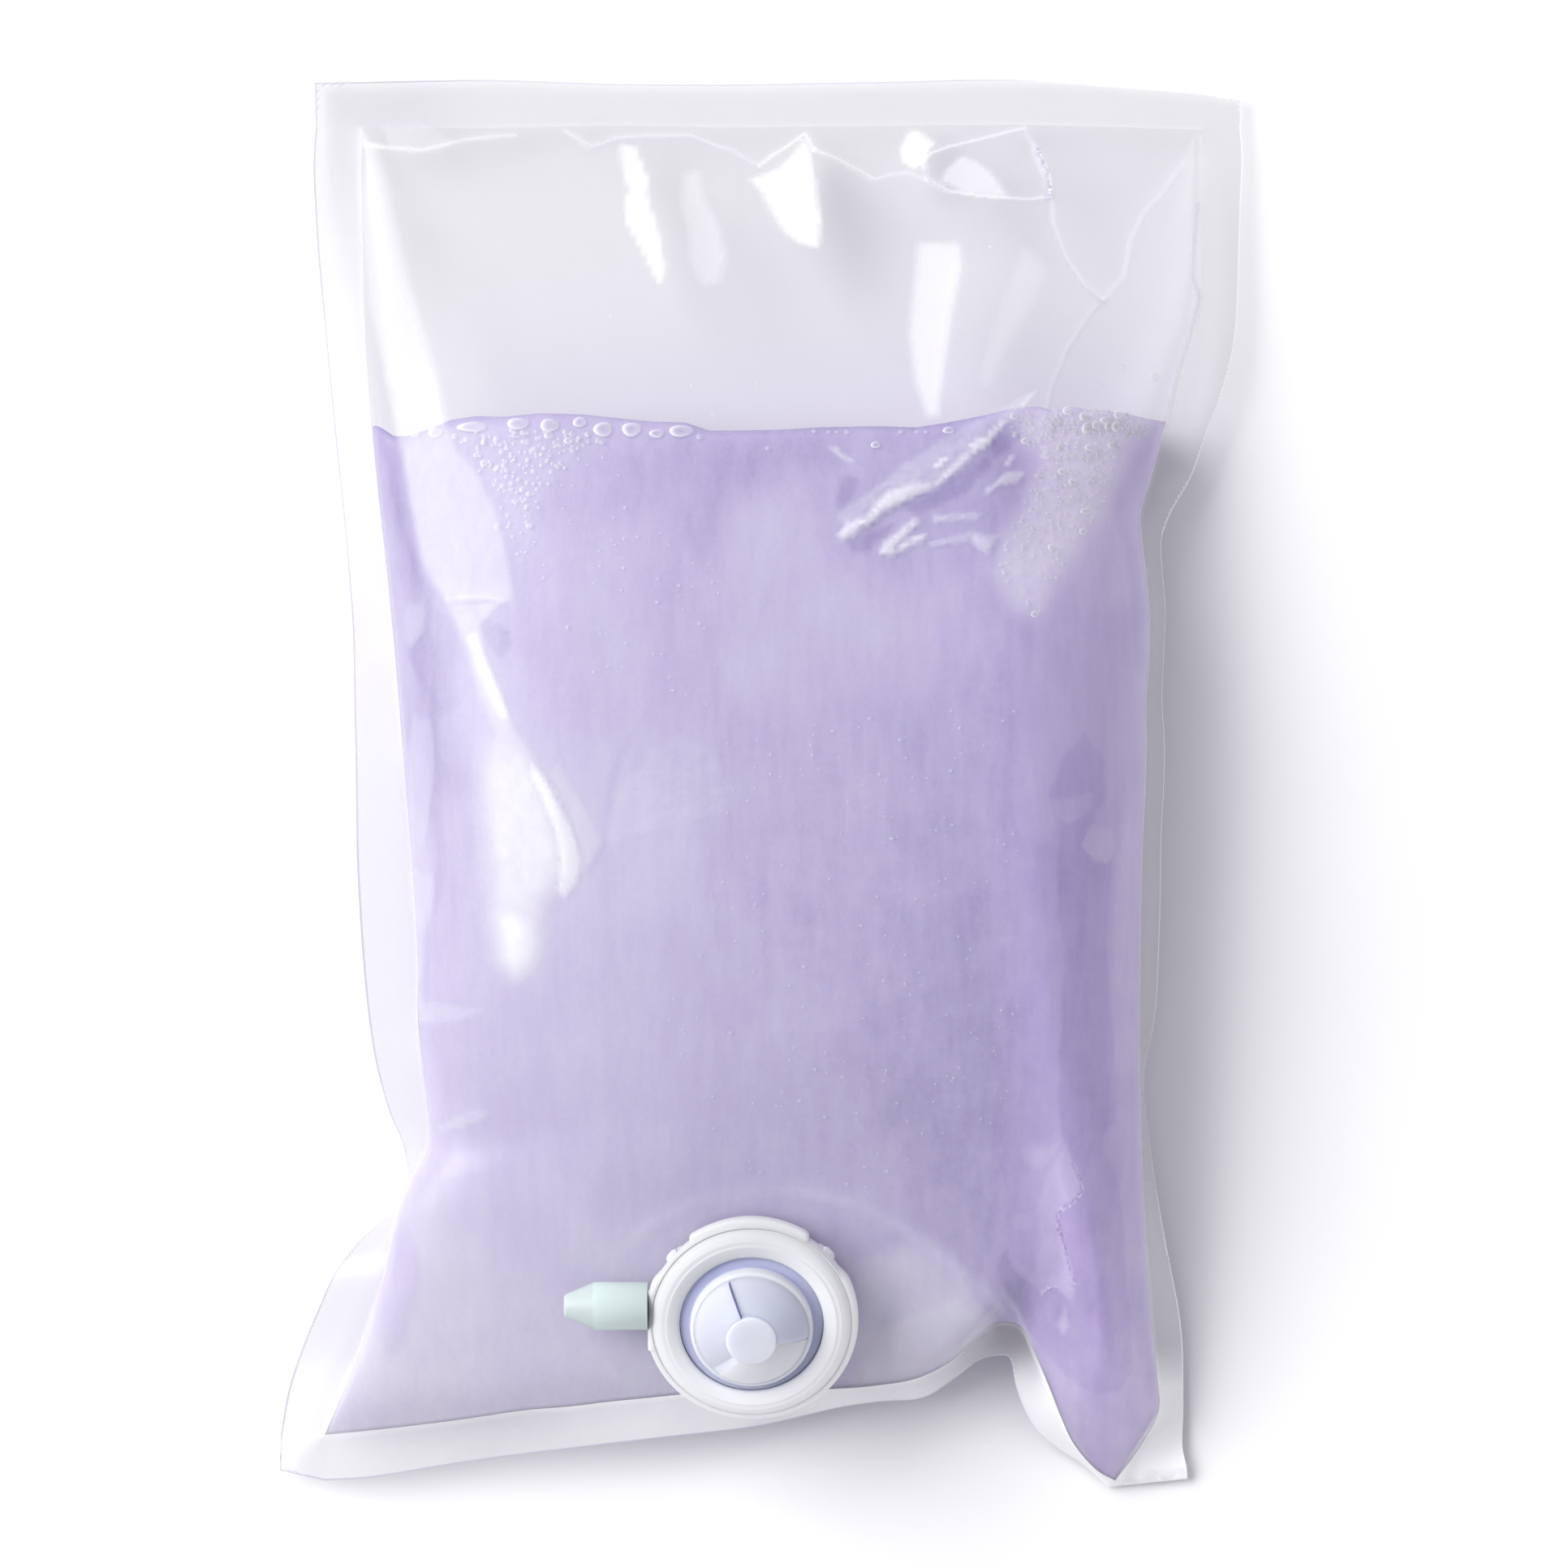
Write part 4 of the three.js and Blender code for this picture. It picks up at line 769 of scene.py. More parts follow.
# ---- bubbles on the film ---------------------------------------------------------------------------
LEVEL_BUBBLES = [(582, 526, 38, 13), (638, 522, 28, 15), (677, 524, 24, 17), (714, 520, 17, 13), (743, 529, 24, 19), (778, 529, 24, 18), (809, 534, 18, 11),
                 (839, 531, 30, 15), (862, 538, 9, 8), (946, 552, 8, 7), (1003, 531, 7, 6), (1021, 532, 6, 5), (1031, 532, 5, 5), (1044, 532, 8, 7), (1110, 532, 8, 6),
                 (1130, 532, 6, 5), (1141, 532, 5, 5), (1169, 530, 15, 9), (1079, 548, 12, 9), (634, 536, 10, 9), (650, 545, 9, 8), (676, 536, 12, 10), (697, 533, 9, 8),
                 (700, 543, 11, 9), (724, 535, 9, 8), (742, 545, 9, 7), (537, 533, 20, 13), (511, 535, 12, 8), (613, 649, 10, 10), (1423, 464, 15, 14), (1383, 453, 9, 8),
                 (1356, 474, 7, 6), (852, 474, 4, 4), (878, 512, 5, 4), (871, 449, 3, 4), (890, 415, 3, 3), (933, 473, 4, 4), (1221, 303, 7, 6), (753, 390, 5, 5),
                 (662, 540, 7, 7), (688, 548, 8, 7), (612, 540, 10, 8), (596, 545, 9, 8), (625, 552, 9, 8), (655, 556, 8, 8), (670, 552, 7, 7), (712, 552, 6, 6)]


def scattered(outline, count, seed, small, large, thin=None):
    """places inside an outline, each with a size; thin(x, y) is the share that stays"""
    o = np.array(outline, float)
    lo, hi = o.min(0), o.max(0)
    n = np.arange(count * 4)
    x = lo[0] + (hi[0] - lo[0]) * hashed(n, seed)
    y = lo[1] + (hi[1] - lo[1]) * hashed(n, seed + 1)
    keep = inside(x, y, outline)
    if thin is not None:
        keep &= hashed(n, seed + 2) < thin(x, y)
    x, y, n = x[keep][:count], y[keep][:count], n[keep][:count]
    d = small + (large - small) * hashed(n, seed + 3) ** 2.2
    return [(a, b, c * (0.9 + 0.3 * e), c) for a, b, c, e in zip(x, y, d, hashed(n, seed + 4))]


def bubble_caps(places, surface):
    """small domes standing on the web at places of the picture; returns verts, triangles and, at the corners, their
    milkiness with a painted highlight
    """
    c = np.array(places, float)
    u, v = uv_of_px(c[:, 0], c[:, 1])
    e = 0.002
    p0 = np.stack(surface(u, v), 1)
    x, y, z = p0.T
    ux, uy, uz = surface(np.clip(u + e, 0, 1), v)
    vx, vy, vz = surface(u, np.clip(v + e, 0, 1))
    a, b, c1 = ux - x, uy - y, uz - z
    d, g, h = vx - x, vy - y, vz - z
    det = a * g - b * d
    det = np.where(np.abs(det) < 1e-9, 1e-9, det)
    gx, gy = (c1 * g - b * h) / det, (a * h - c1 * d) / det
    verts, tris, milky_and_highlight = [], [], []
    for k, (px, py, wide, high) in enumerate(places):
        big = wide > 10
        n = 20 if big else 9
        rings = (0.45, 0.78, 0.93, 1.0) if big else (0.6, 1.0)
        f = PX * (1 - z[k] / EYE[2])
        rx, ry = wide * f / 2, high * f / 2
        swell = min(0.22, 0.13 * min(rx, ry) + 0.03) if big else 0.05 * min(rx, ry) + 0.016
        base = len(verts)
        lift = lambda t: swell * math.sqrt(max(0.0, 1 - t * t)) - 0.02
        verts.append((x[k], y[k], z[k] + lift(0)))
        level = [0.08 if big else 0.15]
        angle = [0.0]
        phase = 6.28 * float(hashed(k, 61))
        for t in rings:
            for i in range(n):
                w = 2 * math.pi * i / n
                wob = 1 + (0.05 * math.sin(3 * w + phase) if big else 0)
                dx, dy = rx * t * wob * math.cos(w), ry * t * wob * math.sin(w)
                verts.append((x[k] + dx, y[k] + dy, z[k] + gx[k] * dx + gy[k] * dy + lift(t)))
                # painted highlight: a crescent near the rim is milkier, most towards the lower left
                lit = 0.5 + 0.5 * math.cos(w - math.radians(205))
                if big:
                    level.append({0.45: 0.20, 0.78: 0.22 + 0.26 * lit, 0.93: 0.28 + 0.34 * lit, 1.0: 0.10}[t])
                else:
                    level.append({0.6: 0.13 + 0.22 * lit, 1.0: 0.09 + 0.08 * lit}[t])
        for i in range(n):
            j = (i + 1) % n
            tris.append((base, base + 1 + i, base + 1 + j))
            for r in range(len(rings) - 1):
                p, q = base + 1 + r * n, base + 1 + (r + 1) * n
                tris.append((p + i, q + i, q + j))
                tris.append((p + i, q + j, p + j))
        milky_and_highlight += level
    return np.array(verts), np.array(tris, int), np.array(milky_and_highlight)


# ---- the front web ---------------------------------------------------------------------------------
def ease(t, k=0.25):
    return t - k * np.sin(2 * np.pi * t) / (2 * np.pi)


NU, NV = 196, 330
us, vs = ease(np.linspace(0, 1, NU + 1)), ease(np.linspace(0, 1, NV + 1))
HOLE = 8.4
hole_at = (VALVE_AT[0] + SHIFT[0], VALVE_AT[1] + SHIFT[1])


def resample(line, step, closed=False):
    o = np.array(line, float)
    if closed:
        o = np.vstack([o, o[:1]])
    d = np.concatenate([[0], np.cumsum(np.linalg.norm(np.diff(o, axis=0), axis=1))])
    n = max(2, int(round(d[-1] / step)) + 1)
    s = np.linspace(0, d[-1], n)
    out = np.stack([np.interp(s, d, o[:, 0]), np.interp(s, d, o[:, 1])], 1)
    return out[:-1] if closed else out


def rows_of_band(steps):
    """the weld band between its inner line and the cut edge, as loops of points round the pouch"""
    loops = []
    for s in steps:
        loop = []
        for name, share in (("B", us), ("R", vs), ("T", us[::-1]), ("L", vs[::-1])):
            w, c = EDGES[name].at(share)
            p = w * (1 - s) + c * s
            loop.append(p[:-1] if s == 0 else p)
        if s > 0:
            full = []
            for part, corner in zip(loop, ("BR", "TR", "TL", "BL")):
                full.append(part)
                q = np.array(CORNERS[corner], float)
                nxt = EDGES[{"BR": "R", "TR": "T", "TL": "L", "BL": "B"}[corner]]
                at = {"BR": 0.0, "TR": 1.0, "TL": 1.0, "BL": 0.0}[corner]
                w, c = nxt.at(np.array([at]))
                first, last = part[-1], (w * (1 - s) + c * s)[0]
                corner_at = w[0] * (1 - s) + q * s
                k = np.linspace(0, 1, 6)[1:-1, None]
                full += [first * (1 - k) + corner_at * k, corner_at[None], corner_at * (1 - k) + last * k]
            loop = full
        loops.append(np.vstack(loop) + SHIFT)
    return loops


def web_points(height, band_offset, outlines, nu_vs=(us, vs)):
    """points of a web seen from above, with heights; height(u, v) gives x, y, z inside the welds"""
    uu, vv = np.meshgrid(nu_vs[0][1:-1], nu_vs[1][1:-1], indexing="ij")
    uu, vv = uu.ravel(), vv.ravel()
    x, y, _ = height(uu, vv)
    keep = np.hypot(x - hole_at[0], y - hole_at[1]) > HOLE + 0.5
    uu, vv = uu[keep], vv[keep]
    x, y, z = height(uu, vv)
    return uu, vv, x, y, z


BAND_AT = [0.0, 0.04, 0.14, 0.34, 0.6, 0.86, 0.955, 0.968, 1.0]
BAND = rows_of_band(BAND_AT)
FRONT_OFFSET = [0.45, 0.40, 0.30, 0.18, 0.14, 0.14, 0.14, 0.14, 0.14]


def build_web(name, height, offsets, outlines, bump, step=0.5):
    uu, vv, x, y, z = web_points(height, offsets, outlines)
    pts = [np.stack([x, y], 1)]
    zs, uvs = [z], [np.stack([uu, vv], 1)]
    edges = []
    count = len(x)

    def add(p, heights, uv, closed=None):
        nonlocal count
        pts.append(p)
        zs.append(heights)
        uvs.append(uv)
        if closed is not None:
            n = len(p)
            for i in range(n if closed else n - 1):
                edges.append((count + i, count + (i + 1) % n))
        count += len(p)

    # outlines that need a crisp edge
    lines = []
    for line, closed in outlines:
        q = resample(line, 3.0, closed)
        u, v = uv_of_px(q[:, 0], q[:, 1])
        ok = (u > 0.004) & (u < 0.996) & (v > 0.004) & (v < 0.996)
        if not ok.all():
            closed = False
            q, u, v = q[ok], u[ok], v[ok]
        if len(u) < 3:
            continue
        lx, ly, lz = height(u, v)
        lines.append((np.stack([lx, ly], 1), lz, np.stack([u, v], 1), closed))
    if lines:
        every = np.vstack([l[0] for l in lines])
        base = pts[0]
        cell = {}
        size = 0.6
        for i, (a, b) in enumerate(every):
            cell.setdefault((int(a // size), int(b // size)), []).append(i)
        drop = np.zeros(len(base), bool)
        for i, (a, b) in enumerate(base):
            ca, cb = int(a // size), int(b // size)
            near = [k for da in (-1, 0, 1) for db in (-1, 0, 1) for k in cell.get((ca + da, cb + db), ())]
            if near and (((every[near] - (a, b)) ** 2).sum(1) < 0.33**2).any():
                drop[i] = True
        pts[0], zs[0], uvs[0] = base[~drop], z[~drop], uvs[0][~drop]
        count = len(pts[0])
        for p, lz, uv, closed in lines:
            add(p, lz, uv, closed)
    # the hole for the spout
    a = np.linspace(0, 2 * np.pi, 73)[:-1]
    hx, hy = hole_at[0] + HOLE * np.cos(a), hole_at[1] + HOLE * math.cos(TILT) * np.sin(a)
    hu, hv = uv_of_xy(hx, hy)
    if name.startswith("front"):
        add(np.stack([hx, hy], 1), height(hu, hv)[2], np.stack([hu, hv], 1), True)
    # weld line and band
    interior = count
    across = [np.full(count, -1.0)]
    for k, (loop, off) in enumerate(zip(BAND, offsets)):
        across.append(np.full(len(loop), BAND_AT[k]))
        wave = 0.10 * value_noise(loop[:, 0] / 9 + 50, loop[:, 1] / 9 + 50, 3) * min(1, k)
        add(loop[:, :2], loop[:, 2] + off + wave, np.full((len(loop), 2), -1.0), True if k in (0, len(BAND) - 1) else None)
    pts, zs, uvs, across = np.vstack(pts), np.concatenate(zs), np.vstack(uvs), np.concatenate(across)
    cut = BAND[-1][:, :2]

    def keep(cx, cy):
        good = inside(cx, cy, cut)
        if name.startswith("front"):
            good &= ~inside(cx, cy, np.stack([hx, hy], 1))
        return good

    xy, tri, source = triangulate(pts, edges, keep)
    new = source < 0
    height_at = zs[np.maximum(source, 0)]
    uv_at = uvs[np.maximum(source, 0)]
    if new.any():
        u, v = uv_of_xy(xy[new, 0], xy[new, 1])
        height_at[new] = height(u, v)[2]
        uv_at[new] = np.stack([u, v], 1)
    in_band = (source >= interior) & (source >= 0)
    px, py = to_px(xy[:, 0], xy[:, 1], height_at)
    free = ~in_band
    if bump is not None:
        lift = bump(px[free], py[free])
        near = np.minimum.reduce([uv_at[free, 0], 1 - uv_at[free, 0], uv_at[free, 1] * 1.6, (1 - uv_at[free, 1]) * 1.6])
        r = np.hypot(xy[free, 0] - hole_at[0], xy[free, 1] - hole_at[1])
        height_at[free] += lift * smooth(near, 0.0, 0.012) * smooth(r, 19, 24)
    verts = np.column_stack([xy, height_at])
    return verts, tri, np.where(in_band, across[np.maximum(source, 0)], -1.0)


def corner_places(verts, tri, pull=0.03):
    """where each corner of each face shows, drawn a little towards the face's middle"""
    p = verts[tri]
    c = p.mean(1, keepdims=True)
    q = (p * (1 - pull) + c * pull).reshape(-1, 3)
    return to_px(q[:, 0], q[:, 1], q[:, 2])


WELD = BAND[0]
weld_px = np.stack(to_px(WELD[:, 0], WELD[:, 1], WELD[:, 2]), 1)


def on_band(verts, tri, px):
    centre = verts[tri].mean(1)
    flag = ~inside(centre[:, 0], centre[:, 1], WELD[:, :2])
    return np.repeat(flag, 3)


closed_outlines = [(o, True) for o in [LIT_C, HOOK, SHEEN_CORE, FOLD_WEDGE, LEFT_TRIANGLE] + BARS[:3] + CRINKLE_LIT[:3]]
open_outlines = [(o, False) for o in (CREASE_A, CREASE_B, CREASE_C, TOP_LINE_A, TOP_LINE_B, TOP_LINE_C, POINT_LINE, CREASE_D, TOP_ARC)]
verts, tri, share = build_web("front", front, FRONT_OFFSET, open_outlines + [(FOLD_LOOP[:-1], True)] + closed_outlines, relief)
cpx, cpy = corner_places(verts, tri)
cband = on_band(verts, tri, cpx)
milk_and_highlight = haze_and_highlight(cpx, cpy, cband)
grey = shade(cpx, cpy, cband)
lilac = lilac_light(cpx, cpy, cband)
at = share[tri.ravel()]
# the cut edge: a painted highlight line along it on the right, a milky grey line elsewhere
rim = smooth(at, 0.957, 0.966)
lit_side = smooth(cpx, 1180, 1350)
milk_and_highlight = np.clip(milk_and_highlight + np.where(cband, rim * (0.30 + 0.35 * lit_side), 0), 0, 0.97)
grey = np.clip(grey + np.where(cband, rim * (0.55 - 0.62 * lit_side), 0), 0, 1)
# painted highlight along the weld's inner line
inner_line_highlight = np.where(cband & (at >= 0), 1 - smooth(at, 0.0, 0.10), 0)
milk_and_highlight = np.clip(milk_and_highlight + 0.14 * inner_line_highlight, 0, 0.97)


def lifted(u, v):
    x, y, z = front(u, v)
    px, py = to_px(x, y, z)
    return x, y, z + relief(px, py)


bubbles = LEVEL_BUBBLES
bubbles = bubbles + scattered(FOAM, 420, 101, 4.0, 9.5, lambda x, y: 1.15 - 1.0 * smooth(y, 520, 740))
bubbles = bubbles + scattered([(1290, 506), (1330, 500), (1365, 504), (1395, 510), (1424, 518), (1420, 530), (1380, 540), (1330, 536), (1292, 530)], 60, 131, 6.0, 12.0)
bubbles = bubbles + scattered(FROTH, 150, 151, 4.0, 9.0, lambda x, y: 1.15 - 1.0 * smooth(y, 545, 700))
bubbles = bubbles + scattered([(900, 900), (1250, 860), (1270, 1100), (1240, 1380), (1050, 1480), (880, 1440), (820, 1250), (860, 1050)], 190, 171, 2.6, 5.0)
bubbles = bubbles + scattered([(640, 560), (740, 560), (900, 700), (880, 880), (700, 820), (640, 700)], 60, 191, 2.6, 5.0)
caps, cap_tri, cap_milk_and_highlight = bubble_caps(bubbles, lifted)
count = len(verts)
front_web = mesh_object("front_film_web", np.vstack([verts, caps]), np.vstack([tri, cap_tri + count]))
put(front_web, "haze_and_highlight", np.concatenate([milk_and_highlight, cap_milk_and_highlight[cap_tri.ravel()]]), "CORNER")
put(front_web, "shade", np.concatenate([grey, np.full(cap_tri.size, 0.0)]), "CORNER")
put(front_web, "lilac_light", np.concatenate([lilac, np.full(cap_tri.size, 0.0)]), "CORNER")

# ---- the back web ------------------------------------------------------------------------------------
full = (us, vs)
us, vs = ease(np.linspace(0, 1, 111)), ease(np.linspace(0, 1, 161))
coarse_band = BAND
BAND_AT = [0.0, 0.3, 0.7, 1.0]
BAND = rows_of_band(BAND_AT)
raised = lambda u, v: (lambda p: (p[0], p[1], np.maximum(p[2], 0.06)))(back(u, v))
verts, tri, _ = build_web("back", raised, [-0.45, -0.2, -0.08, -0.08], [], None)
verts[:, 2] = np.maximum(verts[:, 2], 0.06)
back_web = mesh_object("back_film_web", verts, tri[:, ::-1])
BAND = coarse_band
us, vs = full
print("webs", len(front_web.data.polygons), len(back_web.data.polygons))


# ---- the body wash ----------------------------------------------------------------------------------
def level_v(u_at):
    """where along the pouch the liquid ends, for each place across it"""
    q = resample(LEVEL, 4.0)
    u, v = uv_of_px(q[:, 0], q[:, 1])
    order = np.argsort(u)
    u, v = u[order], v[order]
    return np.interp(u_at, u, v)


LEVEL_AT = level_v(np.linspace(0, 1, 401))


def wash_top(u, s):
    """under the front web: s runs from the bottom weld to the liquid's end"""
    v = s * np.interp(u, np.linspace(0, 1, 401), LEVEL_AT)
    x, y, z = front(np.clip(u, 0, 1), v)
    rim = np.minimum(np.minimum(u, 1 - u) * 150, v * 235)
    gap = 0.42 - 0.02 * (1 - smooth(rim, 0, 1.5))
    low = back(np.clip(u, 0, 1), v)[2]
    end = (1 - s) * 190
    droop = 0.9 * (1 - smooth(end, 0, 1.6))
    return x, y, np.maximum(z - gap - droop, low + 0.2), v


def wash_bottom(u, v):
    x, y, z = back(u, v)
    return x, y, np.maximum(z, 0.06) + 0.12


NWU, NWS = 190, 250
wu, ws = ease(np.linspace(0.0006, 0.9994, NWU + 1)), np.linspace(0.0006, 1, NWS + 1)
ws = ws + 0.0
uu, ss = np.meshgrid(wu, ws, indexing="ij")
uu, ss = uu.ravel(), ss.ravel()
x, y, z, v = wash_top(uu, ss)
base_xy, base_z, base_uv = np.stack([x, y], 1), z, np.stack([uu, v], 1)
rim_loop = np.concatenate([
    np.arange(0, NWU + 1) * (NWS + 1),
    NWU * (NWS + 1) + np.arange(1, NWS + 1),
    np.arange(NWU - 1, -1, -1) * (NWS + 1) + NWS,
    np.arange(NWS - 1, 0, -1),
])
is_rim = np.zeros(len(x), bool)
is_rim[rim_loop] = True


def wash_height(u, v):
    s = v / np.interp(u, np.linspace(0, 1, 401), LEVEL_AT)
    return wash_top(u, np.clip(s, 0, 1))[:3]


lines = []
for outline in (WET_TOP, WET_GAP, WET_LOBE, DRY_A, DRY_B, DRY_C, DRY_D, DRY_E, WET_LEFT):
    q = resample(outline, 2.6, True)
    u, v = uv_of_px(q[:, 0], q[:, 1])
    ok = (u > 0.003) & (u < 0.997)
    lx, ly, lz = wash_height(u[ok], v[ok])
    lines.append((np.stack([lx, ly], 1), lz, bool(ok.all())))
every = np.vstack([l[0] for l in lines])
cell = {}
for i, (a, b) in enumerate(every):
    cell.setdefault((int(a // 0.6), int(b // 0.6)), []).append(i)
drop = np.zeros(len(base_xy), bool)
for i, (a, b) in enumerate(base_xy):
    if is_rim[i]:
        continue
    near = [k for da in (-1, 0, 1) for db in (-1, 0, 1) for k in cell.get((int(a // 0.6) + da, int(b // 0.6) + db), ())]
    if near and (((every[near] - (a, b)) ** 2).sum(1) < 0.33**2).any():
        drop[i] = True
number = np.cumsum(~drop) - 1
pts, zs = [base_xy[~drop]], [base_z[~drop]]
rim_now = number[rim_loop]
edges = [(int(a), int(b)) for a, b in zip(rim_now, np.roll(rim_now, -1))]
count = len(pts[0])
for p, lz, closed in lines:
    n = len(p)
    edges += [(count + i, count + (i + 1) % n) for i in range(n if closed else n - 1)]
    pts.append(p)
    zs.append(lz)
    count += n
pts, zs = np.vstack(pts), np.concatenate(zs)
rim_xy = base_xy[rim_loop]
xy, tri, source = triangulate(pts, edges, lambda cx, cy: inside(cx, cy, rim_xy))
height_at = zs[np.maximum(source, 0)]
if (source < 0).any():
    u, v = uv_of_xy(xy[source < 0, 0], xy[source < 0, 1])
    height_at[source < 0] = wash_height(u, v)[2]
top = np.column_stack([xy, height_at])

# underside on the back web, and the walls between: the liquid's end face and the thin rim
back_index = {}
lookup = {int(s): i for i, s in enumerate(source)}
loop_now = [lookup[int(r)] for r in rim_now if int(r) in lookup]
rx, ry = top[loop_now, 0], top[loop_now, 1]
ru, rv = uv_of_xy(rx, ry)
low_rim = np.column_stack([rx, ry, np.minimum(wash_bottom(ru, rv)[2], top[loop_now, 2] - 0.05)])
bu, bs = np.meshgrid(np.linspace(0.004, 0.996, 61), np.linspace(0.004, 0.996, 91), indexing="ij")
bu, bs = bu.ravel(), bs.ravel()
bv = bs * np.interp(bu, np.linspace(0, 1, 401), LEVEL_AT)
bx, by, bz = wash_bottom(bu, bv)
far = np.array([((low_rim[:, 0] - a) ** 2 + (low_rim[:, 1] - b) ** 2).min() > 0.6**2 for a, b in zip(bx, by)])
low_pts = np.vstack([low_rim[:, :2], np.stack([bx[far], by[far]], 1)])
low_z = np.concatenate([low_rim[:, 2], bz[far]])
n = len(low_rim)
low_xy, low_tri, low_source = triangulate(low_pts, [(i, (i + 1) % n) for i in range(n)], lambda cx, cy: inside(cx, cy, low_rim[:, :2]))
low = np.column_stack([low_xy, low_z[np.maximum(low_source, 0)]])
low_at = {int(s): i for i, s in enumerate(low_source)}
offset = len(top)
walls = []
for i in range(n):
    j = (i + 1) % n
    if i in low_at and j in low_at:
        a, b, c, d = loop_now[i], loop_now[j], offset + low_at[j], offset + low_at[i]
        walls += [(a, d, c), (a, c, b)]
faces = np.vstack([tri, low_tri[:, ::-1] + offset, np.array(walls)])
body = np.vstack([top, low])
wash = mesh_object("lilac_body_wash", body, faces)
cpx, cpy = corner_places(body, faces)
side_faces = np.repeat(np.arange(len(faces)) >= len(tri), 3)
put(wash, "tone", np.where(side_faces, -0.1, tone(cpx, cpy)), "CORNER")
put(wash, "violet", np.where(side_faces, 0.5, violet(cpx, cpy)), "CORNER")
print("wash", len(wash.data.polygons))


# ---- the valve ----------------------------------------------------------------------------------------
VALVE = Matrix.Translation((VALVE_AT[0] + SHIFT[0], VALVE_AT[1] + SHIFT[1], SEAT)) @ Matrix.Rotation(TILT, 4, "X")
VALVE_NP = np.array(VALVE)


def placed(p):
    p = np.asarray(p, float)
    return p @ VALVE_NP[:3, :3].T + VALVE_NP[:3, 3]


def swept(name, angles, rows, sharp=32, about="W"):
    """a closed skin: rows of (radius, height) arrays, one entry for each angle; a row of radius 0 closes an end"""
    n = len(angles)
    ca, sa = np.cos(np.radians(angles)), np.sin(np.radians(angles))
    verts, index = [], []
    for r, w in rows:
        r, w = np.broadcast_to(np.asarray(r, float), (n,)), np.broadcast_to(np.asarray(w, float), (n,))
        if r.max() < 1e-6:
            index.append([len(verts)] * n)
            verts.append((0.0, 0.0, float(w.mean())))
        else:
            index.append(list(range(len(verts), len(verts) + n)))
            verts += list(zip(r * ca, r * sa, w))
    faces = []
    for a, b in zip(index, index[1:]):
        for i in range(n):
            j = (i + 1) % n
            f = [a[i], a[j], b[j], b[i]]
            f = [v for k, v in enumerate(f) if v != f[k - 1]]
            if len(f) > 2:
                faces.append(f)
    if np.max(rows[0][0]) > 1e-6 and np.max(rows[-1][0]) > 1e-6:
        a, b = index[-1], index[0]
        for i in range(n):
            j = (i + 1) % n
            faces.append([a[i], a[j], b[j], b[i]])
    verts = np.array(verts)
    if about == "X":
        # the profile's height runs along -X of the valve, from its axis outwards
        verts = np.column_stack([-verts[:, 2], verts[:, 1] + 2.1, verts[:, 0] + 5.7])
    ob = mesh_object(name, placed(verts), faces)
    bm = bmesh.new()
    bm.from_mesh(ob.data)
    bmesh.ops.recalc_face_normals(bm, faces=bm.faces)
    bm.to_mesh(ob.data)
    bm.free()
    ob.data.polygons.foreach_set("use_smooth", np.full(len(ob.data.polygons), True))
    ob.data.set_sharp_from_angle(angle=math.radians(sharp))
    return ob


def turning(profile):
    return [(np.array(r), np.array(w)) for r, w in profile]


ROUND = np.arange(0, 360, 2.0)

# spout's housing: outer wall with its flat towards the nozzle, and the three lugs
LUGS = [(57, 126, 19.45, 8.0), (136, 144, 19.3, 7.0), (38, 46, 19.3, 7.0)]
corner = math.degrees(math.atan2(5.9, 18.7))
ends = [b for lo, hi, _, _ in LUGS for a in (lo, hi) for b in (a - 0.9, a - 0.1, a + 0.1, a + 0.9)]
ends += [180 - corner - 0.35, 180 - corner, 180 - corner + 0.5, 180 + corner - 0.5, 180 + corner, 180 + corner + 0.35]
HOUSE_ANGLES = np.unique(np.concatenate([ROUND, ends]))


def house_radius(back_, w):
    """outer wall at a height: back_ is how far the profile lies inside the widest line"""
    a = HOUSE_ANGLES
    # the upper side is a little slimmer between its lugs
    body = 19.2 - 0.62 * smooth(np.minimum(a - 24, 158 - a), 0, 10)
    for lo, hi, reach, top in LUGS:
        edge = np.minimum(a - lo, hi - a)
        rise = np.where(edge > 0, 1 - 0.5 * (1 - smooth(edge, 0, 1.6)), 0) * (1 - smooth(w, top - 0.5, top + 0.5))
        body = np.maximum(body, body + (reach - body) * rise)
    r = body - back_
    off = np.radians(np.abs(a - 180))
    flat = np.minimum(18.7 / np.cos(np.minimum(off, 1.0)), 19.5) - min(back_, 0.8)
    return np.where(off < math.radians(corner), np.maximum(flat, np.minimum(r, flat)), r)


outer = [(1.9, 1.3), (1.62, 1.45), (1.5, 1.75), (1.4, 4.2), (1.25, 4.55), (0.85, 4.95), (0.38, 5.3), (0.1, 5.65), (0.0, 6.05), (0.0, 7.4), (0.05, 7.7), (0.2, 8.0), (0.42, 8.25), (0.7, 8.42), (0.95, 8.5)]
rows = [(np.array(0.0), np.array(3.5)), (9.1, 3.5), (9.1, 2.0), (8.4, 1.7), (8.4, 1.3)]
rows += [(np.maximum(house_radius(r, w), 18.2 if w > 8 else 0), w) for r, w in outer]
rows += [(18.12, 8.5), (18.02, 8.46), (17.96, 8.38), (17.95, 6.4), (14.4, 6.4), (14.4, 2.9), (10.4, 2.9), (10.4, 4.7), (np.array(0.0), np.array(4.7))]
house = swept("valve_housing_shell", HOUSE_ANGLES, rows, 40)

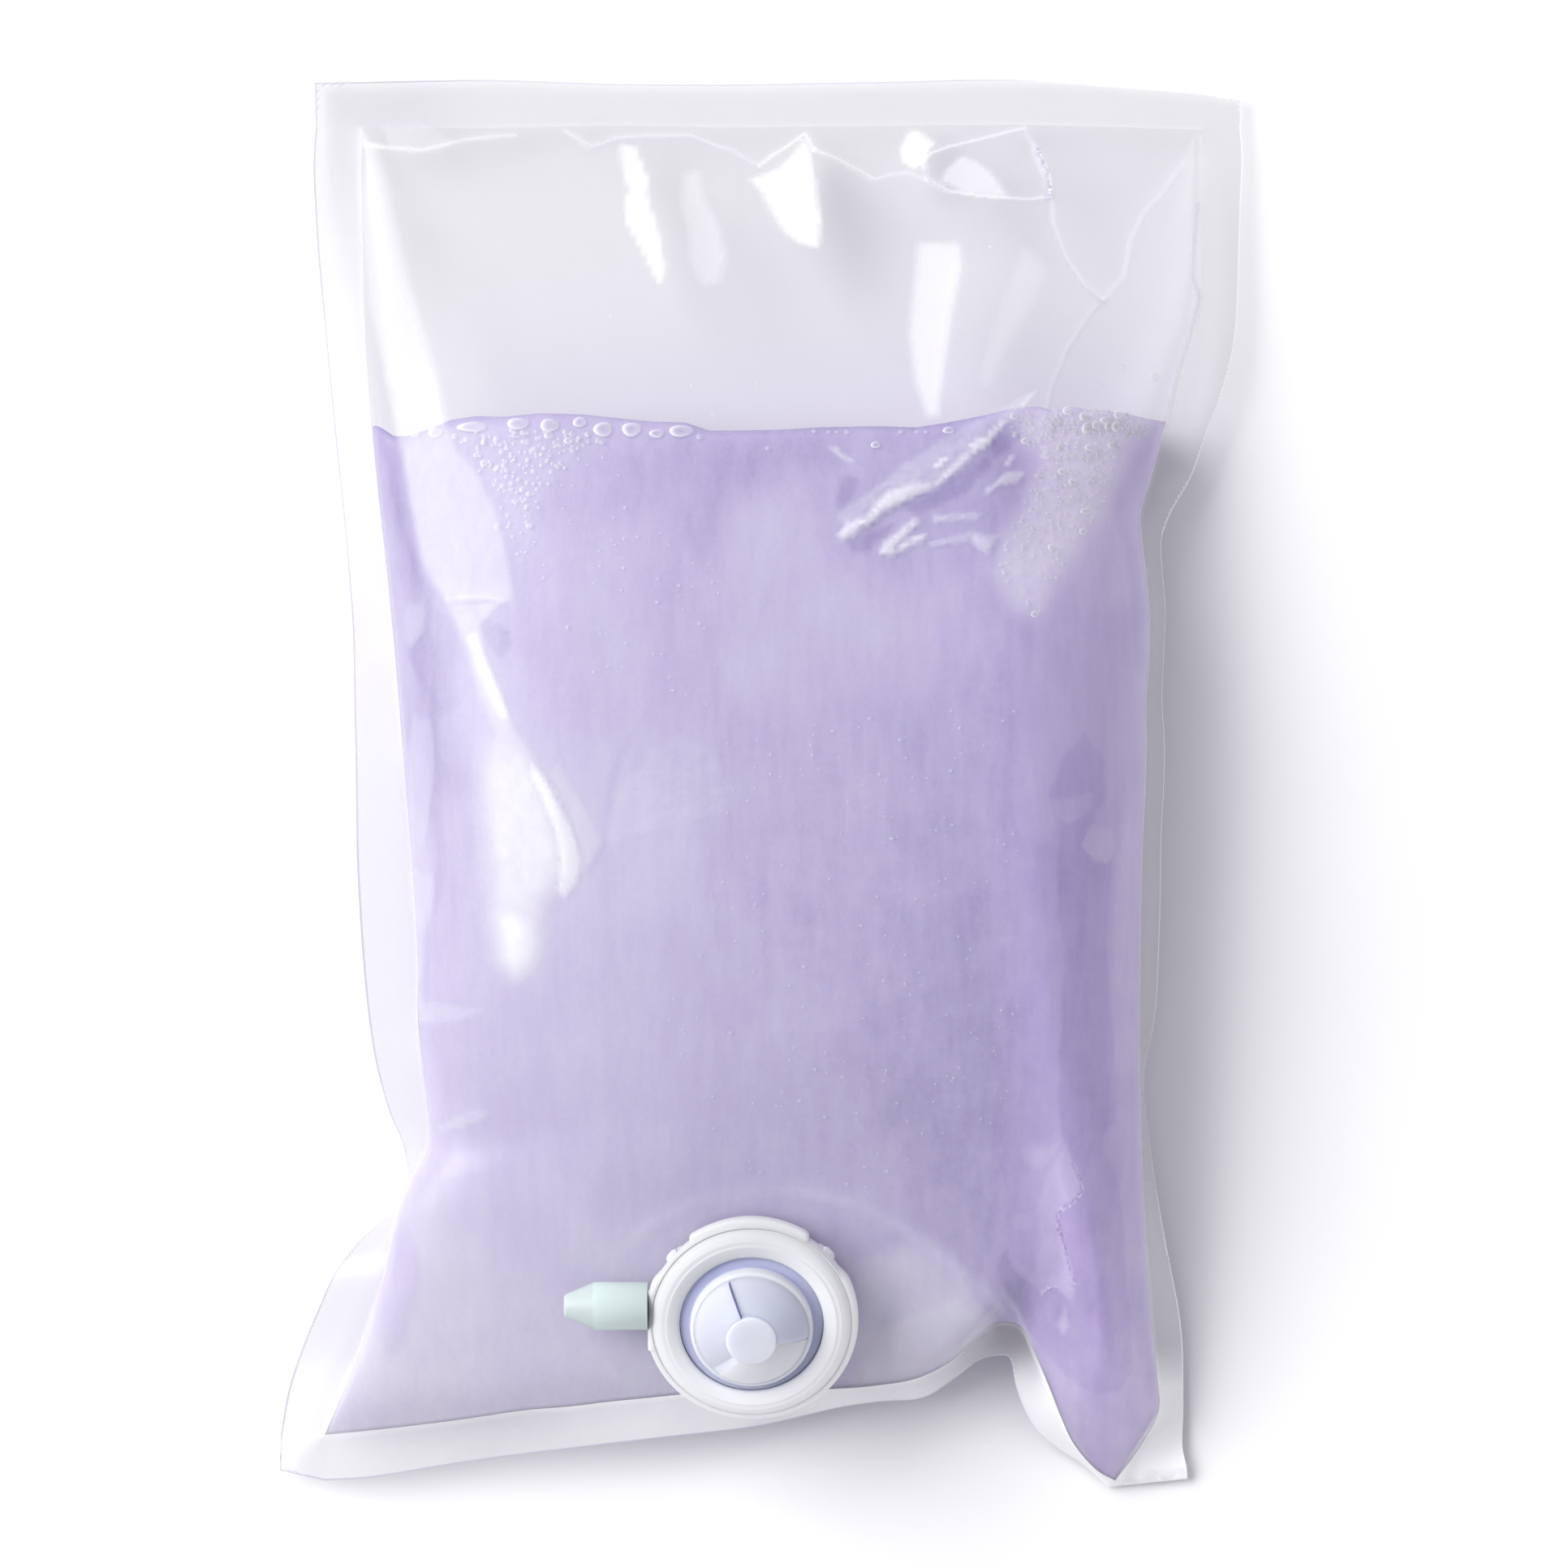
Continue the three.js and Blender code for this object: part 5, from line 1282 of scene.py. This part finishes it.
ring = swept("retaining_ring_shell", ROUND, turning(
    [(13.2, 7.4), (13.1, 8.4), (12.98, 8.9), (12.92, 9.3), (12.95, 9.6), (13.06, 9.88), (13.25, 10.04), (13.6, 10.16), (14.2, 10.24), (14.9, 10.3), (15.25, 10.32), (15.38, 10.28), (15.44, 10.18),
     (15.55, 10.12), (16.1, 10.08), (16.3, 10.02), (16.4, 9.92), (16.7, 9.76), (17.0, 9.55), (17.28, 9.28), (17.52, 8.98), (17.72, 8.72), (17.88, 8.53), (17.94, 8.3), (17.9, 7.4)]), 60)
# painted light: the housing and ring are paler on the side away from the lamp, standing in for light passing through
# the plastic
for ob_ in (house, ring):
    at_ = np.array([v.co for v in ob_.data.vertices]) * 1000 - np.array(VALVE.translation)
    put(ob_, "tint_and_painted_light", 0.5 + 0.5 * np.cos(np.arctan2(at_[:, 1], at_[:, 0]) + 0.75))

# pump dome: three vanes, each standing proud at one edge and sinking towards the next
STEPS = {114: 2.0, 234: 9.0, 354: 3.6}  # how many degrees each step's face takes
DOME_ANGLES = np.unique(np.concatenate([ROUND] + [[e - w_, e - w_ - 0.8, e, e + 0.8] for e, w_ in STEPS.items()]) % 360)


def vane_lift(angles):
    lift = np.zeros(len(angles))
    for e, w_ in STEPS.items():
        along = (angles - e) % 360
        up = (angles - (e - w_)) % 360
        lift = np.where(along < 120, 1.05 * (1 - along / 120) ** 0.9, lift)
        lift = np.where(up < w_, np.maximum(lift, 1.05 * up / w_), lift)
    return lift


lift = vane_lift(DOME_ANGLES)
rows = [(r, w) for r, w in [(16.9, 6.72), (16.9, 7.1), (12.88, 7.1), (12.88, 8.8), (12.8, 8.98), (12.5, 9.06), (11.5, 9.12), (11.15, 9.25), (11.0, 9.6), (11.0, 11.4), (10.95, 11.8), (10.8, 12.08), (10.55, 12.22), (10.32, 12.2), (10.2, 12.08)]]
for r, w in [(10.12, 12.05), (9.9, 12.35), (9.5, 12.85), (9.0, 13.32), (8.4, 13.82), (7.8, 14.28), (7.2, 14.7), (6.5, 15.18), (5.9, 15.58), (5.3, 15.94), (4.85, 16.18), (4.62, 16.26)]:
    rows.append((r, w + lift * (1 if r < 10 else 0.75) * min(1.0, (10.5 - r) / 0.7)))
rows += [(r, w) for r, w in [(4.5, 17.1), (4.5, 17.3), (4.44, 17.46), (4.3, 17.56), (4.1, 17.6), (2.0, 17.6)]]
rows += [(np.array(0.0), np.array(17.6))]
shell = swept("pump_dome_shell", DOME_ANGLES, [(16.9, 6.72), (9.9, 6.72), (9.9, 10.9), (8.8, 12.0), (6.6, 13.6), (4.0, 15.1), (np.array(0.0), np.array(15.5))][::-1] + rows[1:], 30)

# painted shade and light on the elastomer: dark on two of the vanes' step faces and in the ring-shaped recess, each
# vane its own shade with the far vane palest, and the recess a little lighter on the side away from the lamp
local = (np.array([v.co for v in shell.data.vertices]) * 1000 - VALVE_NP[:3, 3]) @ VALVE_NP[:3, :3]
rim_r, rim_a = np.hypot(local[:, 0], local[:, 1]), np.degrees(np.arctan2(local[:, 1], local[:, 0]))
loop_v = np.empty(len(shell.data.loops), int)
shell.data.loops.foreach_get("vertex_index", loop_v)
poly_of = np.repeat(np.arange(len(shell.data.polygons)), [p.loop_total for p in shell.data.polygons])
mid = np.array([p.center for p in shell.data.polygons]) * 1000
mid = (mid - VALVE_NP[:3, 3]) @ VALVE_NP[:3, :3]
mid_r, mid_a = np.hypot(mid[:, 0], mid[:, 1]), np.degrees(np.arctan2(mid[:, 1], mid[:, 0]))
vane_shade = np.where((mid_a - 114) % 360 < 120, 0.42, np.where((mid_a - 234) % 360 < 120, 0.95, 0.34))
for e_, w_ in ((114, 2.0), (354, 3.6)):
    vane_shade = np.where(((mid_a - (e_ - w_)) % 360) < w_, 0.0, vane_shade)
dome_light_and_shade = np.where(mid_r < 4.52, 0.62, np.where(mid_r < 10.15, vane_shade, np.where(mid_r < 11.0, 0.62, 0.0)))[poly_of]
far_side_light = np.clip(0.5 + 0.5 * np.cos(np.radians(rim_a[loop_v] + 60)), 0, 1)
dome_light_and_shade = np.where(mid_r[poly_of] >= 11.0, 0.09 + 0.09 * far_side_light, dome_light_and_shade)
put(shell, "tint_and_painted_light", dome_light_and_shade, "CORNER")

# nozzle: straight tube pushed on its spigot, coned tip, bored through
nozzle = swept("nozzle_tube", np.arange(0, 360, 4.0), turning(
    [(2.9, 18.72), (4.24, 18.72), (4.3, 18.8), (4.3, 28.2), (4.27, 28.4), (4.17, 28.62), (2.2, 33.2), (2.06, 33.5), (1.8, 33.72),
     (1.5, 33.78), (1.16, 33.74), (1.1, 33.6), (1.1, 31.9), (2.9, 28.9)]), 40, about="X")
at_ = (np.array([v.co for v in nozzle.data.vertices]) * 1000 - VALVE_NP[:3, 3]) @ VALVE_NP[:3, :3]
put(nozzle, "tint_and_painted_light", 1 - smooth(-at_[:, 0], 28.25, 28.6))
print("valve", [len(o.data.polygons) for o in (house, ring, shell, nozzle)])


# ---- materials ------------------------------------------------------------------------------------------
class Nodes:
    """a small helper that lays out one material's nodes"""

    def __init__(self, name):
        self.mat = bpy.data.materials.new(name)
        self.mat.use_nodes = True
        self.tree = self.mat.node_tree
        self.tree.nodes.clear()
        self.count = 0

    def add(self, kind, inputs=None, **props):
        n = self.tree.nodes.new("ShaderNode" + kind)
        n.location = (180 * (self.count % 8), -220 * (self.count // 8))
        self.count += 1
        for k, v in props.items():
            setattr(n, k, v)
        for k, v in (inputs or {}).items():
            if isinstance(v, bpy.types.NodeSocket):
                self.tree.links.new(v, n.inputs[k])
            else:
                n.inputs[k].default_value = v
        return n

    def math(self, op, a, b=0.0, clamp=False):
        n = self.add("Math", {0: a, 1: b}, operation=op)
        n.use_clamp = clamp
        return n.outputs[0]

    def noise(self, scale, detail=2.0, rough=0.5, stretch=(1, 1, 1), distortion=0.0):
        at = self.add("TexCoord").outputs["Object"]
        if stretch != (1, 1, 1):
            at = self.add("Mapping", {"Vector": at, "Scale": stretch}).outputs[0]
        return self.add("TexNoise", {"Vector": at, "Scale": scale, "Detail": detail, "Roughness": rough, "Distortion": distortion}).outputs["Fac"]

    def ramp(self, value, stops):
        n = self.add("ValToRGB", {"Fac": value})
        r = n.color_ramp
        while len(r.elements) > len(stops):
            r.elements.remove(r.elements[-1])
        while len(r.elements) < len(stops):
            r.elements.new(1.0)
        for e, (at, colour) in zip(r.elements, stops):
            e.position = at
            e.color = (*colour, 1)
        return n.outputs["Color"]

    def attribute(self, name):
        return self.add("Attribute", attribute_name=name).outputs["Fac"]

    def bump(self, height, distance, strength=1.0):
        return self.add("Bump", {"Height": height, "Distance": distance, "Strength": strength}).outputs["Normal"]

    def finish(self, surface):
        self.add("OutputMaterial", {"Surface": surface})
        return self.mat


def film_material(name, face_on=0.016, rough=0.26):
    m = Nodes(name)
    haze_highlight, sh = m.attribute("haze_and_highlight"), m.attribute("shade")
    fine = m.noise(900, 2, 0.5)
    cloud = m.noise(60, 3, 0.55)
    # the milky layer's share is the web's milkiness together with its painted highlights
    amount = m.math("MULTIPLY", haze_highlight, m.math("ADD", 0.86, m.math("MULTIPLY", cloud, 0.28)), clamp=True)
    colour = m.ramp(sh, [(0.0, (0.98, 0.98, 0.99)), (0.5, (0.62, 0.60, 0.70)), (1.0, (0.28, 0.26, 0.36))])
    waves = m.math("ADD", m.math("MULTIPLY", m.noise(55, 2, 0.5), 1.0), m.math("MULTIPLY", fine, 0.05))
    normal = m.bump(waves, 0.0005, 0.5)
    milky_and_highlight = m.add("BsdfPrincipled", {"Base Color": colour, "Roughness": 0.45, "Specular IOR Level": 0.25, "Normal": normal}).outputs[0]
    through_ = m.ramp(m.attribute("lilac_light"), [(0.0, (0.938, 0.938, 0.940)), (1.0, (0.875, 0.860, 0.925))])
    clear_ = m.add("BsdfTransparent", {"Color": through_}).outputs[0]
    body = m.add("MixShader", {0: amount, 1: clear_, 2: milky_and_highlight}).outputs[0]
    shine = m.add("BsdfGlossy", {"Color": (1, 1, 1, 1), "Roughness": rough, "Normal": normal}).outputs[0]
    grazing = m.add("LayerWeight", {"Blend": 0.5, "Normal": normal}).outputs["Facing"]
    gloss = m.math("ADD", face_on, m.math("MULTIPLY", m.math("POWER", grazing, 4.0), 0.85 - face_on), clamp=True)
    return m.finish(m.add("MixShader", {0: gloss, 1: body, 2: shine}).outputs[0])


def wash_material():
    m = Nodes("lilac_wash")
    tone_ = m.attribute("tone")
    cloud = m.math("MULTIPLY", m.math("SUBTRACT", m.noise(38, 3, 0.55), 0.5), 0.22)
    streak = m.math("MULTIPLY", m.math("SUBTRACT", m.noise(420, 3, 0.65, (1.0, 0.16, 1.0)), 0.5), 0.24)
    grain = m.math("MULTIPLY", m.math("SUBTRACT", m.noise(1100, 3, 0.7), 0.5), 0.16)
    total = m.math("ADD", m.math("ADD", tone_, cloud), m.math("ADD", streak, grain))
    value = m.math("ADD", m.math("MULTIPLY", total, 0.5), 0.5, clamp=True)
    colour = m.ramp(value, [(0.0, (0.12, 0.09, 0.25)), (0.28, (0.30, 0.25, 0.47)), (0.5, (0.55, 0.495, 0.675)), (0.75, (0.76, 0.745, 0.80)), (1.0, (0.93, 0.93, 0.93))])
    # painted light: the colour is multiplied to a stronger violet where the violet attribute is high, over the flank
    # away from the lamp
    far_flank_violet = m.add("MixRGB", {"Fac": m.attribute("violet"), "Color1": colour, "Color2": (1.05, 0.985, 1.12, 1)}, blend_type="MULTIPLY").outputs[0]
    fine = m.noise(700, 2, 0.5)
    normal = m.bump(fine, 0.0002, 0.15)
    b = m.add("BsdfPrincipled", {"Base Color": far_flank_violet, "Roughness": 0.38, "Specular IOR Level": 0.3, "Normal": normal})
    b.inputs["Subsurface Weight"].default_value = 0.35
    b.inputs["Subsurface Radius"].default_value = (1.0, 0.8, 1.3)
    b.inputs["Subsurface Scale"].default_value = 0.004
    return m.finish(b.outputs[0])


def plastic_material(name, colour, dark, rough=0.38, sss=0.25, radius=(1.0, 1.0, 1.0), scale=0.002, spec=0.45, tint_and_painted_light=None):
    m = Nodes(name)
    grain = m.noise(90, 3, 0.55)
    if tint_and_painted_light:
        # an attribute of each place picks the colour from the ramp; it carries painted light and shade, paler on the
        # side away from the lamp and darker in the dome's recess and step faces; a little grain on top
        value = m.math("ADD", m.attribute("tint_and_painted_light"), m.math("MULTIPLY", m.math("SUBTRACT", grain, 0.5), 0.06), clamp=True)
        c = m.ramp(value, tint_and_painted_light)
    else:
        c = m.ramp(grain, [(0.3, dark), (0.75, colour)])
    r = m.math("ADD", rough - 0.05, m.math("MULTIPLY", m.noise(260, 2, 0.5), 0.1))
    normal = m.bump(m.noise(1400, 2, 0.5), 0.0001, 0.2)
    b = m.add("BsdfPrincipled", {"Base Color": c, "Roughness": r, "Specular IOR Level": spec, "Normal": normal})
    b.inputs["Subsurface Weight"].default_value = sss
    b.inputs["Subsurface Radius"].default_value = radius
    b.inputs["Subsurface Scale"].default_value = scale
    return m.finish(b.outputs[0])


def give(ob, mat):
    ob.data.materials.clear()
    ob.data.materials.append(mat)


FILM = film_material("clear_film")
BACK_FILM = film_material("clear_back_film", 0.012, 0.3)
WASH = wash_material()
MILKY = plastic_material("milky_plastic", (0.80, 0.812, 0.82), (0.765, 0.778, 0.79), 0.5, 0.4, (1.0, 1.0, 1.05), 0.003, 0.25, [(0.0, (0.62, 0.63, 0.64)), (0.2, (0.66, 0.67, 0.68)), (0.5, (0.80, 0.81, 0.82)), (1.0, (0.96, 0.965, 0.975))])
RING = plastic_material("ring_plastic", (0.78, 0.792, 0.80), (0.745, 0.758, 0.77), 0.5, 0.4, (1.0, 1.0, 1.05), 0.003, 0.25, [(0.0, (0.62, 0.63, 0.64)), (0.2, (0.65, 0.66, 0.67)), (0.5, (0.79, 0.80, 0.81)), (1.0, (0.95, 0.955, 0.965))])
DOME = plastic_material("dome_elastomer", (0.72, 0.75, 0.89), (0.68, 0.71, 0.87), 0.5, 0.75, (1.0, 1.0, 1.2), 0.004, 0.2, [(0.0, (0.22, 0.24, 0.42)), (0.05, (0.30, 0.33, 0.55)), (0.09, (0.50, 0.53, 0.80)), (0.18, (0.57, 0.60, 0.84)), (0.33, (0.55, 0.575, 0.69)), (0.62, (0.69, 0.715, 0.79)), (1.0, (0.84, 0.86, 0.96))])
MINT = plastic_material("mint_plastic", (0.63, 0.745, 0.73), (0.54, 0.69, 0.655), 0.4, 0.5, (0.9, 1.1, 1.1), 0.003, 0.3, [(0.0, (0.51, 0.585, 0.575)), (0.9, (0.575, 0.70, 0.66)), (1.0, (0.62, 0.735, 0.70))])
RUBBER = plastic_material("valve_rubber", (0.74, 0.76, 0.80), (0.68, 0.70, 0.75), 0.5, 0.1)

give(front_web, FILM)
give(back_web, BACK_FILM)
give(wash, WASH)
for name, mat in (("spout", MILKY), ("valve_housing", MILKY), ("retaining_ring", RING), ("pump_dome", DOME), ("nozzle", MINT), ("inlet_valve", RUBBER), ("outlet_valve", RUBBER)):
    give(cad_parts[name], mat)
for ob, node, mat, slot_name in ((house, "valve_housing", MILKY, "milky_plastic"), (ring, "retaining_ring", RING, "ring_plastic"),
                                 (shell, "pump_dome", DOME, "dome_elastomer"), (nozzle, "nozzle", MINT, "mint_plastic")):
    give(ob, mat)
    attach(ob, "pump")
    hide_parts(node)
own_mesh(shell)

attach(front_web, "bag")
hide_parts("front_film")
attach(back_web, "bag")
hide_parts("back_film")
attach(wash, "bag")
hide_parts("body_wash")

# ---- the surface it lies on, light and view --------------------------------------------------------------
floor = mesh_object("pale_floor", [(-1600, -1600, -0.12), (1600, -1600, -0.12), (1600, 1600, -0.12), (-1600, 1600, -0.12)], [(0, 1, 2, 3)], False)
m = Nodes("pale_floor")
c = m.ramp(m.noise(30, 3, 0.5), [(0.3, (0.905, 0.905, 0.905)), (0.7, (0.915, 0.915, 0.915))])
give(floor, m.finish(m.add("BsdfPrincipled", {"Base Color": c, "Roughness": 0.9, "Specular IOR Level": 0.05}).outputs[0]))

world = bpy.data.worlds.new("studio")
bpy.context.scene.world = world
world.use_nodes = True
world.node_tree.nodes["Background"].inputs["Color"].default_value = (0.93, 0.92, 1.0, 1)
world.node_tree.nodes["Background"].inputs["Strength"].default_value = 0.525


def softbox(name, azimuth, elevation, distance_, wide, high, radiance, aim=(0, 0, 0.02)):
    """a square of even light: azimuth from +X towards +Y, its height along the direction of elevation"""
    a, e = math.radians(azimuth), math.radians(elevation)
    light = bpy.data.lights.new(name, "AREA")
    light.shape = "RECTANGLE"
    light.size, light.size_y = 2 * distance_ * math.tan(math.radians(wide / 2)), 2 * distance_ * math.tan(math.radians(high / 2))
    light.energy = radiance * math.pi * light.size * light.size_y
    ob = bpy.data.objects.new(name, light)
    COLLECTION.objects.link(ob)
    d = Vector((math.cos(a) * math.cos(e), math.sin(a) * math.cos(e), math.sin(e)))
    ob.location = Vector(aim) + d * distance_
    ob.rotation_euler = d.to_track_quat("Z", "Y").to_euler()
    return ob


softbox("key", 153, 40, 4.5, 50, 32, 7.3)
# a white card low on the far side opens the shaded sides
softbox("card", -35, 14, 4.5, 40, 16, 1.9)

camera = bpy.data.cameras.new("straight_down")
camera.sensor_width = 36
camera.lens = 18 * EYE[2] / (MID * PX)
camera.clip_start, camera.clip_end = 0.05, 20
view = bpy.data.objects.new("straight_down", camera)
view.location = (EYE[0] / 1000, EYE[1] / 1000, EYE[2] / 1000)
COLLECTION.objects.link(view)
bpy.context.scene.camera = view
bpy.context.scene.view_settings.view_transform = "Standard"
bpy.context.scene.view_settings.look = "None"
